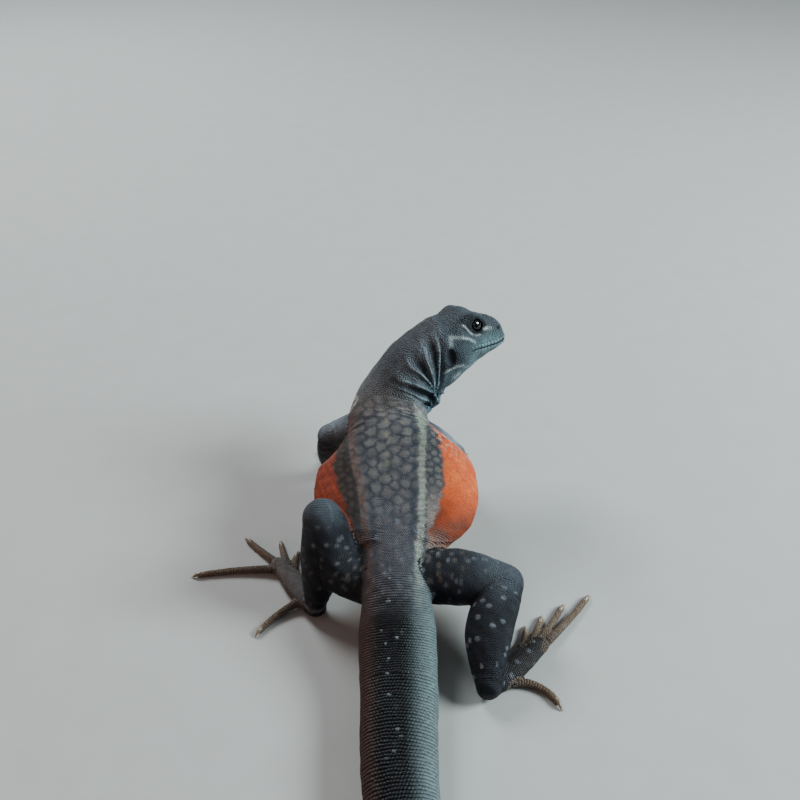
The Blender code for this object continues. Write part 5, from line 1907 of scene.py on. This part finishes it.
# Horn: harder and glossier than the scales, clouded dark and clear.
HORN = two_tone("claw_horn_grown", {"Roughness": 0.32, "IOR": 1.54}, ("#3A2E26", "#A08C74"), 0.8, 3.0)


def make_claw(root, direction, radius):
    """One claw from inside the toe's end, along a line that ends just over the floor."""
    start = root - direction * CLAW_SUNK
    share = np.linspace(0, 1, 9)
    line = start + direction * (CLAW_REACH * share)[:, None]
    arch = CLAW_ARCH * radius * np.sin(math.pi * np.minimum(1, share * 1.15))
    line[:, 2] = start[2] + arch - (start[2] - CLAW_TIP) * share**2.2
    points = [tuple(place) for place in line]
    radii = 0.62 * radius * (1 - share) ** 0.8 + 0.09
    return loft_object(tube("claw", points, list(radii), 14, 0.25, 1.25))


claw_piece = join([make_claw(*end) for end in claws], "claws")
claw_piece.data.materials.append(HORN)
claw_piece.data.shade_smooth()
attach(claw_piece, "root")
print(len(claws), "claws,", len(claw_piece.data.polygons), "faces")

# %% [markdown]
# ## The skin stands for the solids
# One skin replaces every node of flesh, so no seam between two nodes can show.

# %% Hand the nodes over
flesh_nodes = [name for name in sorted(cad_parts) if not name.startswith("eye")]
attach(flesh, "root")
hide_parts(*flesh_nodes)
print("the skin replaces", len(flesh_nodes), "nodes")

# %% [markdown]
# ## Floor, light and camera
# The animal stands on a plain pale floor. In the photograph the light is soft, cool from the
# right and warmer and much weaker from the left. Two large lamps do the same, and a third beyond
# the head brightens the back's far edge. The camera looks down from behind at 36 degrees, as far
# away as the perspective of the trunk asks for.

# %% Floor
# Matt paint on a board, faintly clouded, which takes a soft shadow and no gleam.
FLOOR = two_tone("floor_painted_matt", {"Roughness": 0.85}, ("#A6A5A1", "#AFAEAB"), 14.0, 5.0)
bpy.ops.mesh.primitive_plane_add(size=8.0, location=(0, 0, 0))
floor = bpy.context.active_object
floor.name = "floor"
floor.data.materials.append(FLOOR)
floor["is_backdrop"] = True
print("floor laid")

# %% Light
LAMP_AIM = Vector((0.0, 0.08, 0.03))


def lamp(name, place, size, energy, colour):
    """A large soft lamp that points at the middle of the animal."""
    data = bpy.data.lights.new(name, "AREA")
    data.shape = "DISK"
    data.size = size
    data.energy = energy
    data.color = linear(colour)
    made = add_object(name, data)
    made.location = place
    aim = LAMP_AIM - Vector(place)
    made.rotation_euler = aim.to_track_quat("-Z", "Y").to_euler()


lamp("cool_key", (0.95, 0.1, 0.58), 0.45, 27.0, "#E0F0F4")
lamp("warm_fill", (-0.95, -0.35, 0.35), 0.6, 2.4, "#FFA67C")
lamp("back_soft", (-0.55, 0.85, 0.8), 0.5, 16.0, "#E4EEF2")
world = bpy.data.worlds.new("room")
world.use_nodes = True
room = world.node_tree.nodes["Background"]
room.inputs["Color"].default_value = (*linear("#DCE2E6"), 1.0)
room.inputs["Strength"].default_value = 0.24
bpy.context.scene.world = world
print("three lamps and a pale room")

# %% Camera
CAMERA_PLACE = (-0.02, -216.2, 250.4)
CAMERA_DOWN = math.radians(36)
IMAGE_PIXELS = 800
FOCAL_PIXELS = 900
SENSOR = 36.0
camera_data = bpy.data.cameras.new("camera")
camera_data.sensor_width = SENSOR
camera_data.lens = FOCAL_PIXELS * SENSOR / IMAGE_PIXELS
camera_data.clip_start = 0.01
camera = add_object("camera", camera_data)
camera.location = (np.array(CAMERA_PLACE) + SHIFT) * MM
camera.rotation_euler = (math.pi / 2 - CAMERA_DOWN, 0, 0)
bpy.context.scene.camera = camera
print("camera", round(camera_data.lens, 2), "mm")

# %% [markdown]
# ## Measure and finish
# The forms of the scales have done their work and go. The box of the dressed animal is set beside
# the box of the solids, so that any growth shows.

# %% Sizes and the end
for form in FORMS:
    bpy.data.objects.remove(form, do_unlink=True)
visual_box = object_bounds()
sizes = {name: [list(corner) for corner in box] for name, box in (("cad", cad_box), ("visual", visual_box))}
spans = [np.array(box[1]) - np.array(box[0]) for box in (cad_box, visual_box)]
growth = ((spans[1] - spans[0]) / MM).round(2).tolist()
total = sum(len(piece.data.loop_triangles) for piece in coat_pieces)
print("coat:", total, "triangles in", len(coat_pieces), "pieces,", clock())
print("the box grows by", growth, "mm")
